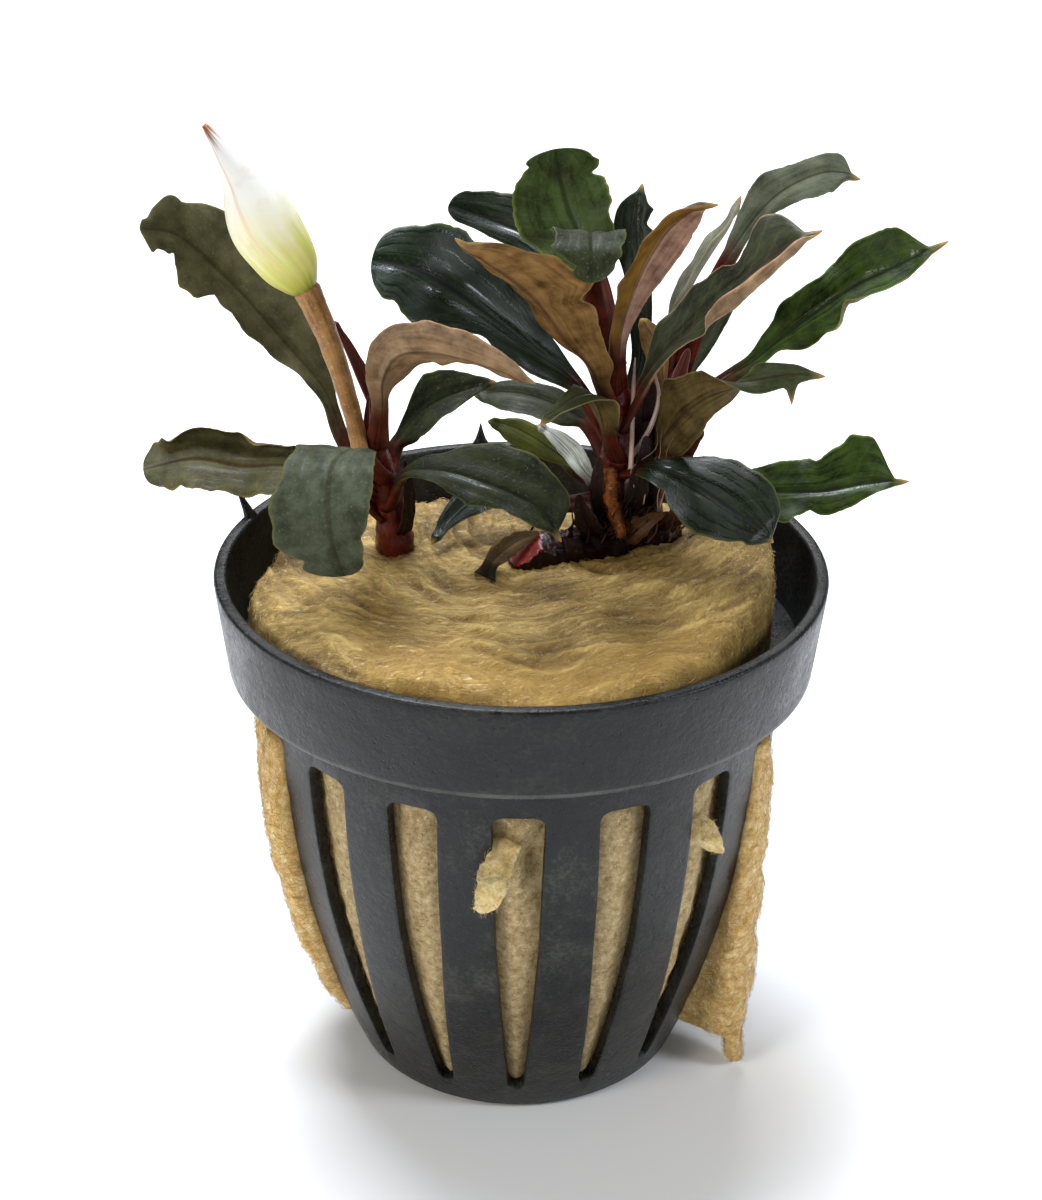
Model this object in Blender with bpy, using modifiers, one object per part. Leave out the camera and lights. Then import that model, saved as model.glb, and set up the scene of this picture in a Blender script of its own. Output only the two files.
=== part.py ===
"""A small aquarium plant, two leafy shoots and one flower, in a slotted net pot filled with rock wool.

Lengths are written in millimetres and multiplied by MM where an object is made. The pot's axis is
the Z axis, its foot stands on z = 0, and its front is towards -Y.
"""

import math
from collections import namedtuple

import bpy
import bmesh
from mathutils import Matrix, Vector

MM = 0.001
GAP = 0.3  # between pieces that touch on the real plant

# Net pot
POT_HEIGHT = 45.0
RIM_RADIUS = 25.0
RIM_WALL = 1.07
SKIRT_BOTTOM = 37.0
SKIRT_RADIUS = 24.2
BODY_TOP_RADIUS = 21.55
BASE_RADIUS = 14.1
BODY_CURVE = 2.1  # how sharply the body curves in to its base
POT_WALL = 1.0
FLOOR = 1.2
LIP_ROUNDING = 0.3
FOOT_ROUNDING = 0.5
FLOOR_FILLET = 1.4  # between the floor and the wall inside
POT_STEPS = 48
INSIDE_LEVELS = (2.4, 8.0, 16.0, 27.0)
OUTSIDE_LEVELS = (27.0, 17.0, 9.0, 3.4)

# Slots round the pot, numbered from the left; slot 4 faces the front. The outline is (height, half width)
SLOTS = 16
FRONT_SLOT = 4
SLOT_TOP = 33.7
SLOT_BOTTOM = 3.05
SLOT_OUTLINE = [(3.7, 0.7), (12.0, 1.25), (20.0, 1.75), (32.9, 2.08)]
SLOT_INNER_RADIUS = 12.9
SLOT_OUTER_RADIUS = 30.0
SLOT_FOOT_HALF_WIDTH = 0.35
SLOT_CORNER = (0.25, 0.8)  # how far the upper corners are cut down and in
DRAINS = 8
DRAIN_FROM, DRAIN_TO, DRAIN_WIDTH = 5.0, 10.5, 2.0
DRAIN_ROUNDING = 0.6

# Two small moulded points on the rim: azimuth in degrees, height, lean outward
RIM_POINTS = [(99.0, 2.0, 0.0), (160.5, 2.6, 0.5)]
RIM_POINT_ROOT = 1.2  # how far it starts below the lip
RIM_POINT_BASE = (0.42, 0.65)  # half depth and half width at the lip
RIM_POINT_END = (0.06, 0.08)

# Rock wool
WOOL_POINTS = 32
WOOL_CLEARANCE = GAP + 0.1  # to the pot's flat-sided walls
WOOL_FLOOR = FLOOR + WOOL_CLEARANCE
WOOL_FOOT_RADIUS = 12.2
WOOL_TOP = 45.6
# How far the wool's upper edge lies from the axis, by azimuth in degrees
WOOL_EDGE = [(-180, 20.2), (-166, 22.2), (-150, 23.0), (-120, 22.9), (-90, 22.6), (-60, 22.0), (-35, 21.0),
             (0, 20.6), (45, 20.3), (90, 20.0), (140, 19.4), (180, 20.2)]
# Soft rises and hollows in its top: x, y, rise, spread
WOOL_RELIEF = [(17, -2, 1.3, 9.0), (-7, 6.5, 0.5, 4.0), (1, -8, 0.5, 4.0), (-12, -14, 0.4, 5.0),
               (-20, -8, -0.6, 4.0), (3, -21, -1.6, 6.0), (-14, -18, -1.2, 5.0), (16, -16, -0.8, 5.0)]
WOOL_BACK_LINE = 8.5  # behind this the top slopes down to the back wall
WOOL_BACK_SLOPE = 0.5
WOOL_EDGE_DROP = 0.9  # the rounded upper edge starts this far below the top
WOOL_EDGE_RISE = ((0.0, 0.0), (0.35, 0.75), (0.8, 1.0))  # share of the height, share of the way out
WOOL_TOP_RINGS = (0.95, 0.74, 0.48, 0.22)

# Where the wool pushes out through slots: slot, then height, how far past the pot's outside, half width
WOOL_BULGES = [
    (0, [(5, 0.5, 0.9), (12, 1.4, 1.5), (20, 1.7, 2.0), (28, 1.3, 2.2), (33, 0.6, 1.7)]),
    (1, [(4.8, 0.5, 0.9), (12, 1.5, 1.6), (20, 1.8, 2.1), (28, 1.4, 2.3), (33, 0.7, 1.7)]),
    (7, [(4.4, 5.4, 1.9), (8, 4.4, 2.3), (13, 3.1, 2.5), (20, 1.7, 2.6), (28, 0.9, 2.4), (33, 0.5, 1.7)]),
]
# A tuft that hangs out of the front slot: x, y, z, half size
WOOL_TUFT = [(0.2, -17.5, 30.0, 1.5), (-0.3, -21.6, 29.3, 1.5), (-1.6, -23.2, 27.6, 1.5),
             (-2.4, -23.7, 26.0, 1.1), (-2.8, -23.6, 24.9, 0.5)]
TUFT_FLATNESS = 0.8
BULGE_ROOT = 3.0  # a bulge starts this far inside the pot's outside
BULGE_BACK = 0.42  # and widens over the ribs from here
BULGE_FLAT = 0.6  # below this it only fills its slot

# Stems, stalk and root: points with a radius each
Limb = namedtuple("Limb", "points colour")
LIMBS = {
    "left_stem": Limb([(-10.3, 1.4, 41.5, 1.5), (-10.4, 1.5, 45.5, 1.5), (-10.8, 1.5, 49.6, 1.15),
                       (-11.6, 1.0, 53.8, 0.95), (-12.1, 0.6, 56.4, 0.75)], "#5e2418"),
    "right_stem": Limb([(7.3, 0.9, 48.9, 1.4), (7.5, 1.0, 52.0, 1.3), (7.6, 0.8, 56.0, 1.2),
                        (7.3, 0.5, 60.0, 1.05), (6.9, 0.4, 63.4, 0.75)], "#5b1712"),
    "side_stem": Limb([(10.5, 2.3, 49.3, 1.0), (10.4, 2.4, 52.0, 1.0), (10.8, 2.5, 55.2, 0.9),
                       (11.7, 2.7, 58.6, 0.75), (12.8, 3.0, 61.4, 0.6)], "#4a1a12"),
    "rhizome": Limb([(-0.6, -3.2, 46.9, 0.9), (0.6, -2.3, 46.9, 1.2), (3.3, -0.8, 46.8, 1.5),
                     (7.2, 0.8, 46.8, 1.5), (11.0, 2.2, 47.1, 1.3), (12.6, 2.8, 47.5, 0.8)], "#3a1a14"),
    "hanging_root": Limb([(7.0, -1.0, 52.6, 0.42), (7.2, -1.5, 51.2, 0.45), (7.6, -2.0, 49.8, 0.38),
                          (7.9, -2.3, 48.7, 0.28)], "#b06a2a"),
    "flower_stalk": Limb([(-12.75, -0.65, 51.6, 0.6), (-13.1, -0.5, 55.0, 0.72), (-13.5, -0.4, 57.6, 0.75),
                          (-14.3, -0.6, 61.2, 0.82), (-15.4, -0.9, 64.8, 0.9), (-16.3, -1.0, 67.2, 1.0)],
                         "#a97a5c"),
}
# Flower: the spathe's middle line from its foot to its tip, each point with half width and half depth
SPATHE = [(-16.6, -1.0, 67.9, 1.0, 0.9), (-17.2, -1.0, 69.2, 2.0, 1.7), (-18.1, -1.1, 71.1, 2.8, 2.3),
          (-19.2, -1.2, 73.4, 3.1, 2.4), (-20.0, -1.3, 75.6, 2.7, 2.2), (-20.9, -1.6, 77.6, 2.0, 1.6),
          (-21.9, -1.9, 79.4, 1.2, 1.0), (-22.9, -2.2, 80.9, 0.6, 0.5), (-23.6, -2.4, 82.0, 0.15, 0.15)]
SPATHE_POINTS = 10

# Leaves: the stem and height they grow from, the midrib's points after that, the share of its length that
# is stalk, the way the top of the blade faces, and the half widths left and right of the midrib at STATIONS,
# seen from above with the tip ahead. Fold lifts the margins and twist turns the outer half, in degrees.
PETIOLE_RADIUS = 0.45
LEAF_THICKNESS = 0.5
LONG_STALK = 0.22  # a stalk from this share up has a ring halfway
STATIONS = (0.1, 0.3, 0.5, 0.7, 0.9)
NEAR_TIP = 0.96
TWIST_FROM, TWIST_TO, TWIST_STEPS = 0.45, 0.8, 8
# One ring's section, anticlockwise: share of the half width, share of the half thickness
LEAF_SECTION = ((-1, 0), (-0.6, 0.75), (0, 1), (0.6, 0.75), (1, 0), (0.6, -0.75), (0, -1), (-0.6, -0.75))
Leaf = namedtuple("Leaf", "stem height midrib stalk face left right fold twist colour")
TOP_GREEN, OLIVE, BROWN, BRIGHT = "#2f3a2b", "#4a4d3a", "#86683f", "#4b5f2a"
LEAVES = {
    "leaf_left_tall": Leaf("left_stem", 50.5, [(-14.5, 2.5, 54.4), (-16.0, 3.2, 58.4), (-19.7, 4.0, 62.8),
        (-23.3, 3.7, 67.4), (-26.8, 2.3, 71.4), (-29.3, 0.0, 72.8)], 0.2, (0.55, -0.65, 0.5),
        (1.2, 1.9, 2.7, 3.6, 2.2), (1.6, 3.2, 3.5, 4.2, 2.3), 8, 0, OLIVE),
    "leaf_left_low": Leaf("left_stem", 48.2, [(-14.2, 1.0, 51.0), (-18.7, 2.0, 52.2), (-22.8, 2.8, 51.8),
        (-26.6, 3.1, 52.3), (-30.9, 2.7, 51.5)], 0.3, (0, -0.45, 0.9),
        (2.4, 3.0, 3.2, 3.4, 2.6), (2.2, 3.2, 3.8, 3.5, 2.3), 5, 0, OLIVE),
    "leaf_left_front": Leaf("left_stem", 51.5, [(-12.2, -3.4, 55.4), (-13.2, -6.6, 57.4), (-14.3, -9.8, 57.4),
        (-14.5, -12.1, 55.2), (-14.1, -12.9, 52.4), (-13.4, -12.5, 49.6)], 0.28, (-0.1, -0.8, 0.6),
        (1.8, 3.2, 3.6, 3.4, 2.4), (2.2, 3.4, 3.8, 3.9, 2.8), 4, 0, OLIVE),
    "leaf_left_arched": Leaf("left_stem", 54.6, [(-11.2, -1.9, 58.4), (-10.9, -3.4, 62.0), (-9.4, -6.0, 65.2),
        (-6.4, -8.0, 66.2), (-2.8, -9.1, 65.6), (0.9, -9.0, 64.0)], 0.25, (-0.1, 0.8, 0.55),
        (1.6, 3.1, 3.2, 2.9, 1.6), (1.2, 2.0, 2.6, 2.6, 1.2), 10, 0, BROWN),
    "leaf_left_grooved": Leaf("left_stem", 52.0, [(-10.0, 2.9, 54.4), (-8.7, 3.7, 56.0), (-6.7, 4.2, 57.3),
        (-4.4, 4.3, 58.2), (-2.2, 4.0, 59.0)], 0.18, (0.1, -0.55, 0.8),
        (0.7, 1.5, 2.5, 2.3, 1.1), (2.3, 3.0, 2.5, 1.6, 0.8), 22, 0, TOP_GREEN),
    "leaf_left_inner": Leaf("left_stem", 49.4, [(-9.3, -1.4, 53.2), (-6.5, -3.0, 54.2), (-3.6, -4.2, 54.0),
        (-0.6, -5.3, 53.2), (1.6, -6.2, 52.2), (3.1, -7.0, 50.0)], 0.18, (0.1, -0.6, 0.8),
        (1.0, 2.8, 3.6, 3.4, 2.4), (1.1, 1.9, 2.6, 2.6, 1.6), 5, 0, TOP_GREEN),
    "leaf_small_dark": Leaf("right_stem", 49.6, [(1.4, 2.6, 48.9), (-1.2, 3.2, 49.6), (-3.7, 3.1, 49.4),
        (-5.6, 1.7, 48.2), (-7.3, -0.6, 46.7)], 0.35, (-0.2, -0.5, 0.8),
        (1.6, 2.2, 2.0, 1.3, 0.6), (1.2, 1.6, 1.4, 0.9, 0.4), 12, 0, TOP_GREEN),
    "leaf_right_broad": Leaf("right_stem", 55.6, [(3.8, -1.7, 61.4), (0.8, -2.7, 64.2), (-2.2, -3.4, 66.8),
        (-5.4, -4.0, 69.4), (-8.4, -4.5, 71.2), (-11.4, -4.6, 71.9)], 0.24, (0.45, -0.75, 0.55),
        (1.2, 2.2, 3.2, 4.3, 3.6), (1.0, 2.0, 3.3, 4.1, 3.2), 6, 0, TOP_GREEN),
    "leaf_right_brown_wide": Leaf("right_stem", 57.6, [(5.4, -3.4, 63.2), (3.4, -5.0, 66.0),
        (1.4, -6.9, 69.4), (-0.7, -9.0, 72.1), (-2.9, -11.3, 74.4), (-4.9, -13.0, 76.4)], 0.18,
        (0.3, 0.75, 0.55), (1.6, 3.0, 4.2, 4.6, 3.0), (0.8, 1.6, 1.7, 1.6, 0.9), 8, 0, BROWN),
    "leaf_back_left": Leaf("right_stem", 58.6, [(5.6, 5.0, 64.1), (3.4, 7.4, 67.7), (0.2, 9.6, 69.4),
        (-3.0, 10.6, 70.4), (-6.2, 11.0, 71.4)], 0.35, (-0.3, -0.55, 0.75),
        (1.5, 2.3, 2.5, 2.2, 1.4), (1.5, 2.2, 2.7, 2.5, 1.4), 8, 0, TOP_GREEN),
    "leaf_back_round": Leaf("right_stem", 61.6, [(6.3, 3.4, 66.4), (4.8, 5.3, 69.8), (3.6, 6.7, 72.0),
        (2.8, 7.6, 74.5), (2.3, 8.0, 77.0)], 0.42, (-0.1, -0.85, 0.4),
        (2.8, 4.0, 4.5, 4.4, 3.3), (2.8, 3.5, 3.7, 3.4, 3.1), 5, 0, BRIGHT),
    "leaf_front_drooping": Leaf("right_stem", 62.6, [(5.5, 0.3, 66.4), (5.1, -1.4, 70.5), (4.9, -4.9, 73.8),
        (4.7, -8.4, 75.3), (4.7, -11.2, 75.1), (4.8, -12.6, 73.1)], 0.45, (0, -0.35, 0.9),
        (1.4, 2.4, 2.8, 2.8, 1.9), (1.4, 2.6, 3.1, 3.0, 1.9), 6, 0, TOP_GREEN),
    "leaf_back_small": Leaf("right_stem", 57.0, [(9.3, 3.1, 61.0), (9.3, 4.3, 64.2), (9.1, 6.0, 68.0),
        (8.9, 7.8, 71.6), (9.3, 9.0, 74.0)], 0.12, (-0.3, -0.8, 0.4),
        (0.8, 0.9, 1.2, 2.1, 1.1), (0.8, 0.9, 1.2, 1.8, 1.0), 10, 0, TOP_GREEN),
    "leaf_right_brown_pointed": Leaf("right_stem", 59.6, [(7.3, -2.2, 65.2), (7.9, -3.0, 68.4),
        (9.0, -4.0, 71.8), (10.5, -5.1, 74.8), (12.3, -6.2, 76.7), (14.0, -7.0, 77.2)], 0.24,
        (-0.2, 0.75, 0.55), (1.1, 1.8, 2.1, 2.0, 1.2), (1.1, 1.8, 2.1, 2.1, 1.2), 12, 0, BROWN),
    "leaf_top_right": Leaf("side_stem", 60.4, [(14.6, 5.3, 65.6), (16.4, 6.6, 69.0), (18.6, 7.7, 72.1),
        (21.0, 8.5, 74.0), (24.0, 9.2, 75.0), (26.6, 9.0, 74.5)], 0.44, (-0.25, -0.7, 0.65),
        (1.4, 2.2, 2.2, 2.0, 1.3), (0.8, 1.2, 1.8, 2.0, 1.2), 8, 0, TOP_GREEN),
    "leaf_edge_on": Leaf("side_stem", 58.2, [(11.9, 4.4, 64.6), (13.2, 4.6, 67.6), (14.6, 4.8, 70.0),
        (15.8, 5.0, 71.9), (16.8, 5.2, 74.2)], 0.3, (-0.85, -0.2, 0.45),
        (1.2, 1.9, 2.2, 2.0, 1.0), (1.2, 1.9, 2.2, 1.8, 1.0), 10, 0, TOP_GREEN),
    "leaf_right_folded": Leaf("right_stem", 56.8, [(10.2, -1.8, 62.8), (12.8, -3.0, 66.2), (15.2, -4.0, 69.2),
        (17.6, -5.0, 71.9), (19.9, -5.8, 74.1), (21.8, -6.2, 75.1)], 0.2, (-0.45, -0.45, 0.75),
        (1.8, 2.8, 2.7, 3.3, 3.0), (0.9, 1.6, 2.4, 2.3, 1.4), -14, 0, TOP_GREEN),
    "leaf_right_long": Leaf("side_stem", 56.2, [(15.2, 1.4, 59.7), (18.2, 1.1, 62.1), (21.7, 0.9, 65.3),
        (25.3, 0.5, 68.3), (29.0, 0.0, 70.5), (32.3, 0.0, 72.4)], 0.27, (-0.3, -0.65, 0.7),
        (0.9, 1.9, 2.6, 3.1, 2.0), (0.9, 2.0, 2.9, 2.0, 1.1), 10, 0, TOP_GREEN),
    "leaf_right_twisted": Leaf("side_stem", 52.2, [(11.3, -0.6, 56.0), (12.6, -2.8, 59.1), (15.2, -5.2, 62.2),
        (17.4, -6.3, 63.3), (20.0, -6.9, 64.1), (22.7, -7.0, 64.0)], 0.15, (0.62, 0.79, 0.0),
        (1.9, 2.0, 1.3, 1.5, 0.8), (1.7, 2.8, 2.2, 1.3, 0.9), 6, 172, BROWN),
    "leaf_low_right": Leaf("side_stem", 50.4, [(14.2, 3.4, 50.9), (17.6, 3.7, 49.9), (21.2, 4.0, 49.5),
        (24.8, 4.0, 49.6), (28.4, 4.0, 50.3), (31.8, 4.0, 50.6)], 0.28, (-0.1, -0.65, 0.75),
        (1.9, 2.9, 3.1, 4.0, 3.0), (2.0, 2.7, 2.3, 1.5, 0.9), 6, 0, BRIGHT),
    "leaf_front_glossy": Leaf("right_stem", 52.6, [(10.3, -2.2, 54.3), (12.3, -3.5, 54.1), (14.6, -5.0, 53.3),
        (17.0, -6.5, 52.1), (19.5, -8.0, 50.6)], 0.16, (0.15, -0.6, 0.8),
        (1.6, 2.8, 3.7, 3.8, 2.7), (1.6, 3.0, 3.6, 3.2, 2.0), 5, 0, TOP_GREEN),
    "leaf_small_brown": Leaf("right_stem", 53.8, [(6.5, -2.8, 58.4), (5.6, -4.8, 61.2), (4.1, -7.0, 62.2),
        (2.6, -9.0, 61.9), (1.3, -10.2, 61.2)], 0.3, (0.45, 0.45, 0.8),
        (1.2, 1.7, 1.8, 1.4, 0.7), (1.2, 1.8, 1.8, 1.2, 0.6), 8, 0, BROWN),
    "leaf_inner_bright": Leaf("right_stem", 50.9, [(5.0, -0.7, 53.2), (3.9, 0.4, 54.5), (2.6, 1.2, 55.5),
        (1.2, 2.0, 56.1)], 0.25, (-0.3, -0.5, 0.8),
        (0.9, 1.6, 1.8, 1.6, 0.9), (0.9, 1.5, 1.7, 1.5, 0.8), 5, 0, TOP_GREEN),
    "leaf_inner_green": Leaf("right_stem", 51.0, [(4.6, 3.2, 51.6), (2.6, 4.5, 52.7), (0.8, 5.5, 53.6),
        (-1.0, 6.3, 54.2), (-2.9, 6.8, 54.4)], 0.3, (-0.2, -0.6, 0.75),
        (0.8, 1.3, 1.5, 1.3, 0.7), (0.8, 1.4, 1.5, 1.3, 0.7), 8, 0, BRIGHT),
    "leaf_inner_dark": Leaf("right_stem", 53.0, [(5.2, 3.4, 55.6), (3.0, 4.4, 56.7), (0.5, 5.4, 57.3),
        (-1.8, 6.2, 57.2), (-4.0, 6.8, 56.6)], 0.28, (-0.1, -0.45, 0.85),
        (1.2, 1.7, 1.9, 1.7, 0.9), (1.2, 1.8, 2.0, 1.7, 0.9), 8, 0, TOP_GREEN),
    "leaf_inner_folded": Leaf("side_stem", 57.6, [(10.8, 1.1, 60.9), (10.5, 1.5, 62.8), (9.8, 1.4, 64.3),
        (9.1, 1.1, 65.5)], 0.25, (-0.4, 0.5, 0.7),
        (0.6, 0.9, 1.1, 1.1, 0.6), (0.6, 0.9, 1.1, 1.1, 0.6), 8, 0, BROWN),
    "leaf_narrow_grey": Leaf("side_stem", 55.0, [(13.2, 5.4, 59.3), (14.6, 6.4, 61.7), (16.0, 7.2, 63.8),
        (17.6, 8.2, 66.3)], 0.3, (-0.4, -0.4, 0.8),
        (0.8, 1.3, 1.4, 1.3, 0.7), (0.8, 1.2, 1.3, 1.1, 0.6), 10, 0, TOP_GREEN),
    "stalk_sheath": Leaf("left_stem", 53.6, [(-11.9, 2.4, 57.4), (-13.0, 2.1, 60.6), (-14.1, 1.7, 63.3),
        (-15.1, 1.3, 65.0)], 0.1, (0.5, -0.8, 0.3),
        (0.7, 0.75, 0.7, 0.5, 0.3), (0.7, 0.75, 0.7, 0.5, 0.3), 25, 0, "#7a4634"),
}


def clear_scene():
    for obj in list(bpy.data.objects):
        bpy.data.objects.remove(obj, do_unlink=True)


def collection(name):
    made = bpy.data.collections.new(name)
    bpy.context.scene.collection.children.link(made)
    return made


def linear(hex_colour):
    """An sRGB hex colour as the linear values a shader takes."""
    channels = [int(hex_colour[i:i + 2], 16) / 255 for i in (1, 3, 5)]
    return [c / 12.92 if c <= 0.04045 else ((c + 0.055) / 1.055) ** 2.4 for c in channels]


def give_material(obj, hex_colour, roughness, metallic=0.0):
    material = bpy.data.materials.new(obj.name)
    material.use_nodes = True
    shader = material.node_tree.nodes["Principled BSDF"]
    shader.inputs["Base Color"].default_value = (*linear(hex_colour), 1)
    shader.inputs["Roughness"].default_value = roughness
    shader.inputs["Metallic"].default_value = metallic
    obj.data.materials.clear()
    obj.data.materials.append(material)


def along(pairs, x):
    """The value at x of a line through (x, value) pairs."""
    for (x0, v0), (x1, v1) in zip(pairs[:-1], pairs[1:]):
        if x <= x1:
            return v0 + (v1 - v0) * max(x - x0, 0) / (x1 - x0)
    return pairs[-1][1]


def smooth_line(points, pieces):
    """Points along a curve that runs smoothly through the given ones, their radii and widths too."""
    ends = [2 * points[0] - points[1]] + list(points) + [2 * points[-1] - points[-2]]
    line = []
    for a, b, c, d in zip(ends[:-3], ends[1:-2], ends[2:-1], ends[3:]):
        for i in range(pieces):
            t = i / pieces
            line.append(0.5 * (2 * b + (c - a) * t + (2 * a - 5 * b + 4 * c - d) * t ** 2
                               + (3 * b - a - 3 * c + d) * t ** 3))
    return line + [points[-1]]


def loft(name, rings, parts):
    """A closed skin through rings of points, each end closed by a fan round its middle or its one point."""
    mesh = bmesh.new()
    rows = [[mesh.verts.new(p * MM) for p in ring] for ring in rings]
    for low, high in zip(rows[:-1], rows[1:]):
        count = max(len(low), len(high))
        for i in range(count):
            j = (i + 1) % count
            if len(high) == 1:
                mesh.faces.new((low[i], low[j], high[0]))
            elif len(low) == 1:
                mesh.faces.new((low[0], high[j], high[i]))
            else:
                mesh.faces.new((low[i], low[j], high[j], high[i]))
    for row in (rows[0], rows[-1]):
        if len(row) > 1:
            mesh.faces.new(row)
    bmesh.ops.recalc_face_normals(mesh, faces=mesh.faces)
    data = bpy.data.meshes.new(name)
    mesh.to_mesh(data)
    mesh.free()
    obj = bpy.data.objects.new(name, data)
    parts.objects.link(obj)
    return obj


def boolean(obj, other, operation):
    modifier = obj.modifiers.new(operation.lower(), "BOOLEAN")
    modifier.operation = operation
    modifier.solver = "EXACT"
    modifier.object = other


def make_cutter(obj, cutters):
    for home in list(obj.users_collection):
        home.objects.unlink(obj)
    cutters.objects.link(obj)
    obj.hide_render = True
    obj.display_type = "WIRE"


def mesh_of(obj, parts):
    """A mesh copy of a curve, its caps welded, in the curve's place."""
    bpy.context.view_layer.update()
    evaluated = obj.evaluated_get(bpy.context.evaluated_depsgraph_get())
    data = bpy.data.meshes.new_from_object(evaluated)
    welded = bmesh.new()
    welded.from_mesh(data)
    bmesh.ops.remove_doubles(welded, verts=welded.verts, dist=0.002 * MM)
    welded.to_mesh(data)
    welded.free()
    name = obj.name
    copy = bpy.data.objects.new(name + "_mesh", data)
    copy.matrix_world = obj.matrix_world
    bpy.data.objects.remove(obj, do_unlink=True)
    copy.name = name
    parts.objects.link(copy)
    return copy


# The pot

def body_radius(z):
    """The outside of the pot's body, which curves in towards its base."""
    return BODY_TOP_RADIUS - (BODY_TOP_RADIUS - BASE_RADIUS) * max(1 - z / SKIRT_BOTTOM, 0) ** BODY_CURVE


def slot_azimuth(number):
    return -math.pi / 2 + (number - FRONT_SLOT) * 2 * math.pi / SLOTS


def slot_half_width(z):
    return along(SLOT_OUTLINE, z)


def pot_profile():
    """From the middle of the floor inside, up the wall, over the lip, down the outside and under the base."""
    inner_rim = RIM_RADIUS - RIM_WALL
    shelf = SKIRT_BOTTOM + POT_WALL
    inside = [(0, FLOOR), (BASE_RADIUS - FLOOR_FILLET, FLOOR)]
    inside += [(body_radius(z) - POT_WALL, z) for z in (*INSIDE_LEVELS, shelf)]
    inside += [(SKIRT_RADIUS - RIM_WALL, shelf)]
    lip = [(inner_rim, POT_HEIGHT - LIP_ROUNDING), (inner_rim + LIP_ROUNDING, POT_HEIGHT),
           (RIM_RADIUS - LIP_ROUNDING, POT_HEIGHT), (RIM_RADIUS, POT_HEIGHT - LIP_ROUNDING)]
    skirt = [(SKIRT_RADIUS, SKIRT_BOTTOM + LIP_ROUNDING), (SKIRT_RADIUS - LIP_ROUNDING, SKIRT_BOTTOM),
             (BODY_TOP_RADIUS, SKIRT_BOTTOM)]
    outside = [(body_radius(z), z) for z in OUTSIDE_LEVELS]
    foot = [(BASE_RADIUS, FOOT_ROUNDING), (BASE_RADIUS - FOOT_ROUNDING, 0), (0, 0)]
    return inside + lip + skirt + outside + foot


def slot_cutter(parts):
    """One slot's outline, rounded at its ends, pushed straight out through the wall."""
    side = [(w, z) for z, w in SLOT_OUTLINE]
    widest = SLOT_OUTLINE[-1][1]
    down, inward = SLOT_CORNER
    top = [(widest - down, SLOT_TOP - down), (widest - inward, SLOT_TOP)]
    right = [(SLOT_FOOT_HALF_WIDTH, SLOT_BOTTOM)] + side + top
    outline = right + [(-w, z) for w, z in reversed(right)]
    curve = bpy.data.curves.new("slot", "CURVE")
    curve.dimensions = "2D"
    curve.fill_mode = "BOTH"
    curve.extrude = (SLOT_OUTER_RADIUS - SLOT_INNER_RADIUS) / 2 * MM
    spline = curve.splines.new("POLY")
    spline.points.add(len(outline) - 1)
    for point, (x, y) in zip(spline.points, outline):
        point.co = (x * MM, y * MM, 0, 1)
    spline.use_cyclic_u = True
    obj = bpy.data.objects.new("slot", curve)
    parts.objects.link(obj)
    return mesh_of(obj, parts)


def drain_cutter(parts):
    size = (DRAIN_TO - DRAIN_FROM, DRAIN_WIDTH, 5 * FLOOR)
    obj = box("drain", size, ((DRAIN_FROM + DRAIN_TO) / 2, 0, 0), parts)
    bevel = obj.modifiers.new("ends", "BEVEL")
    bevel.width = DRAIN_ROUNDING * MM
    bevel.segments = 1
    return mesh_of(obj, parts)


def box(name, size, centre, parts):
    bpy.ops.mesh.primitive_cube_add(size=1)
    obj = bpy.context.object
    obj.name = name
    scale = Matrix.Diagonal((*(s * MM for s in size), 1))
    obj.data.transform(Matrix.Translation(Vector(centre) * MM) @ scale)
    for home in list(obj.users_collection):
        home.objects.unlink(obj)
    parts.objects.link(obj)
    return obj


def ring_of_copies(source, places, name, parts):
    """Copies of one closed shape, each moved by its own matrix, in one mesh."""
    joined = bmesh.new()
    for place in places:
        copy = source.data.copy()
        copy.transform(place)
        joined.from_mesh(copy)
        bpy.data.meshes.remove(copy)
    data = bpy.data.meshes.new(name)
    joined.to_mesh(data)
    joined.free()
    obj = bpy.data.objects.new(name, data)
    parts.objects.link(obj)
    bpy.data.objects.remove(source, do_unlink=True)
    return obj


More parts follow.
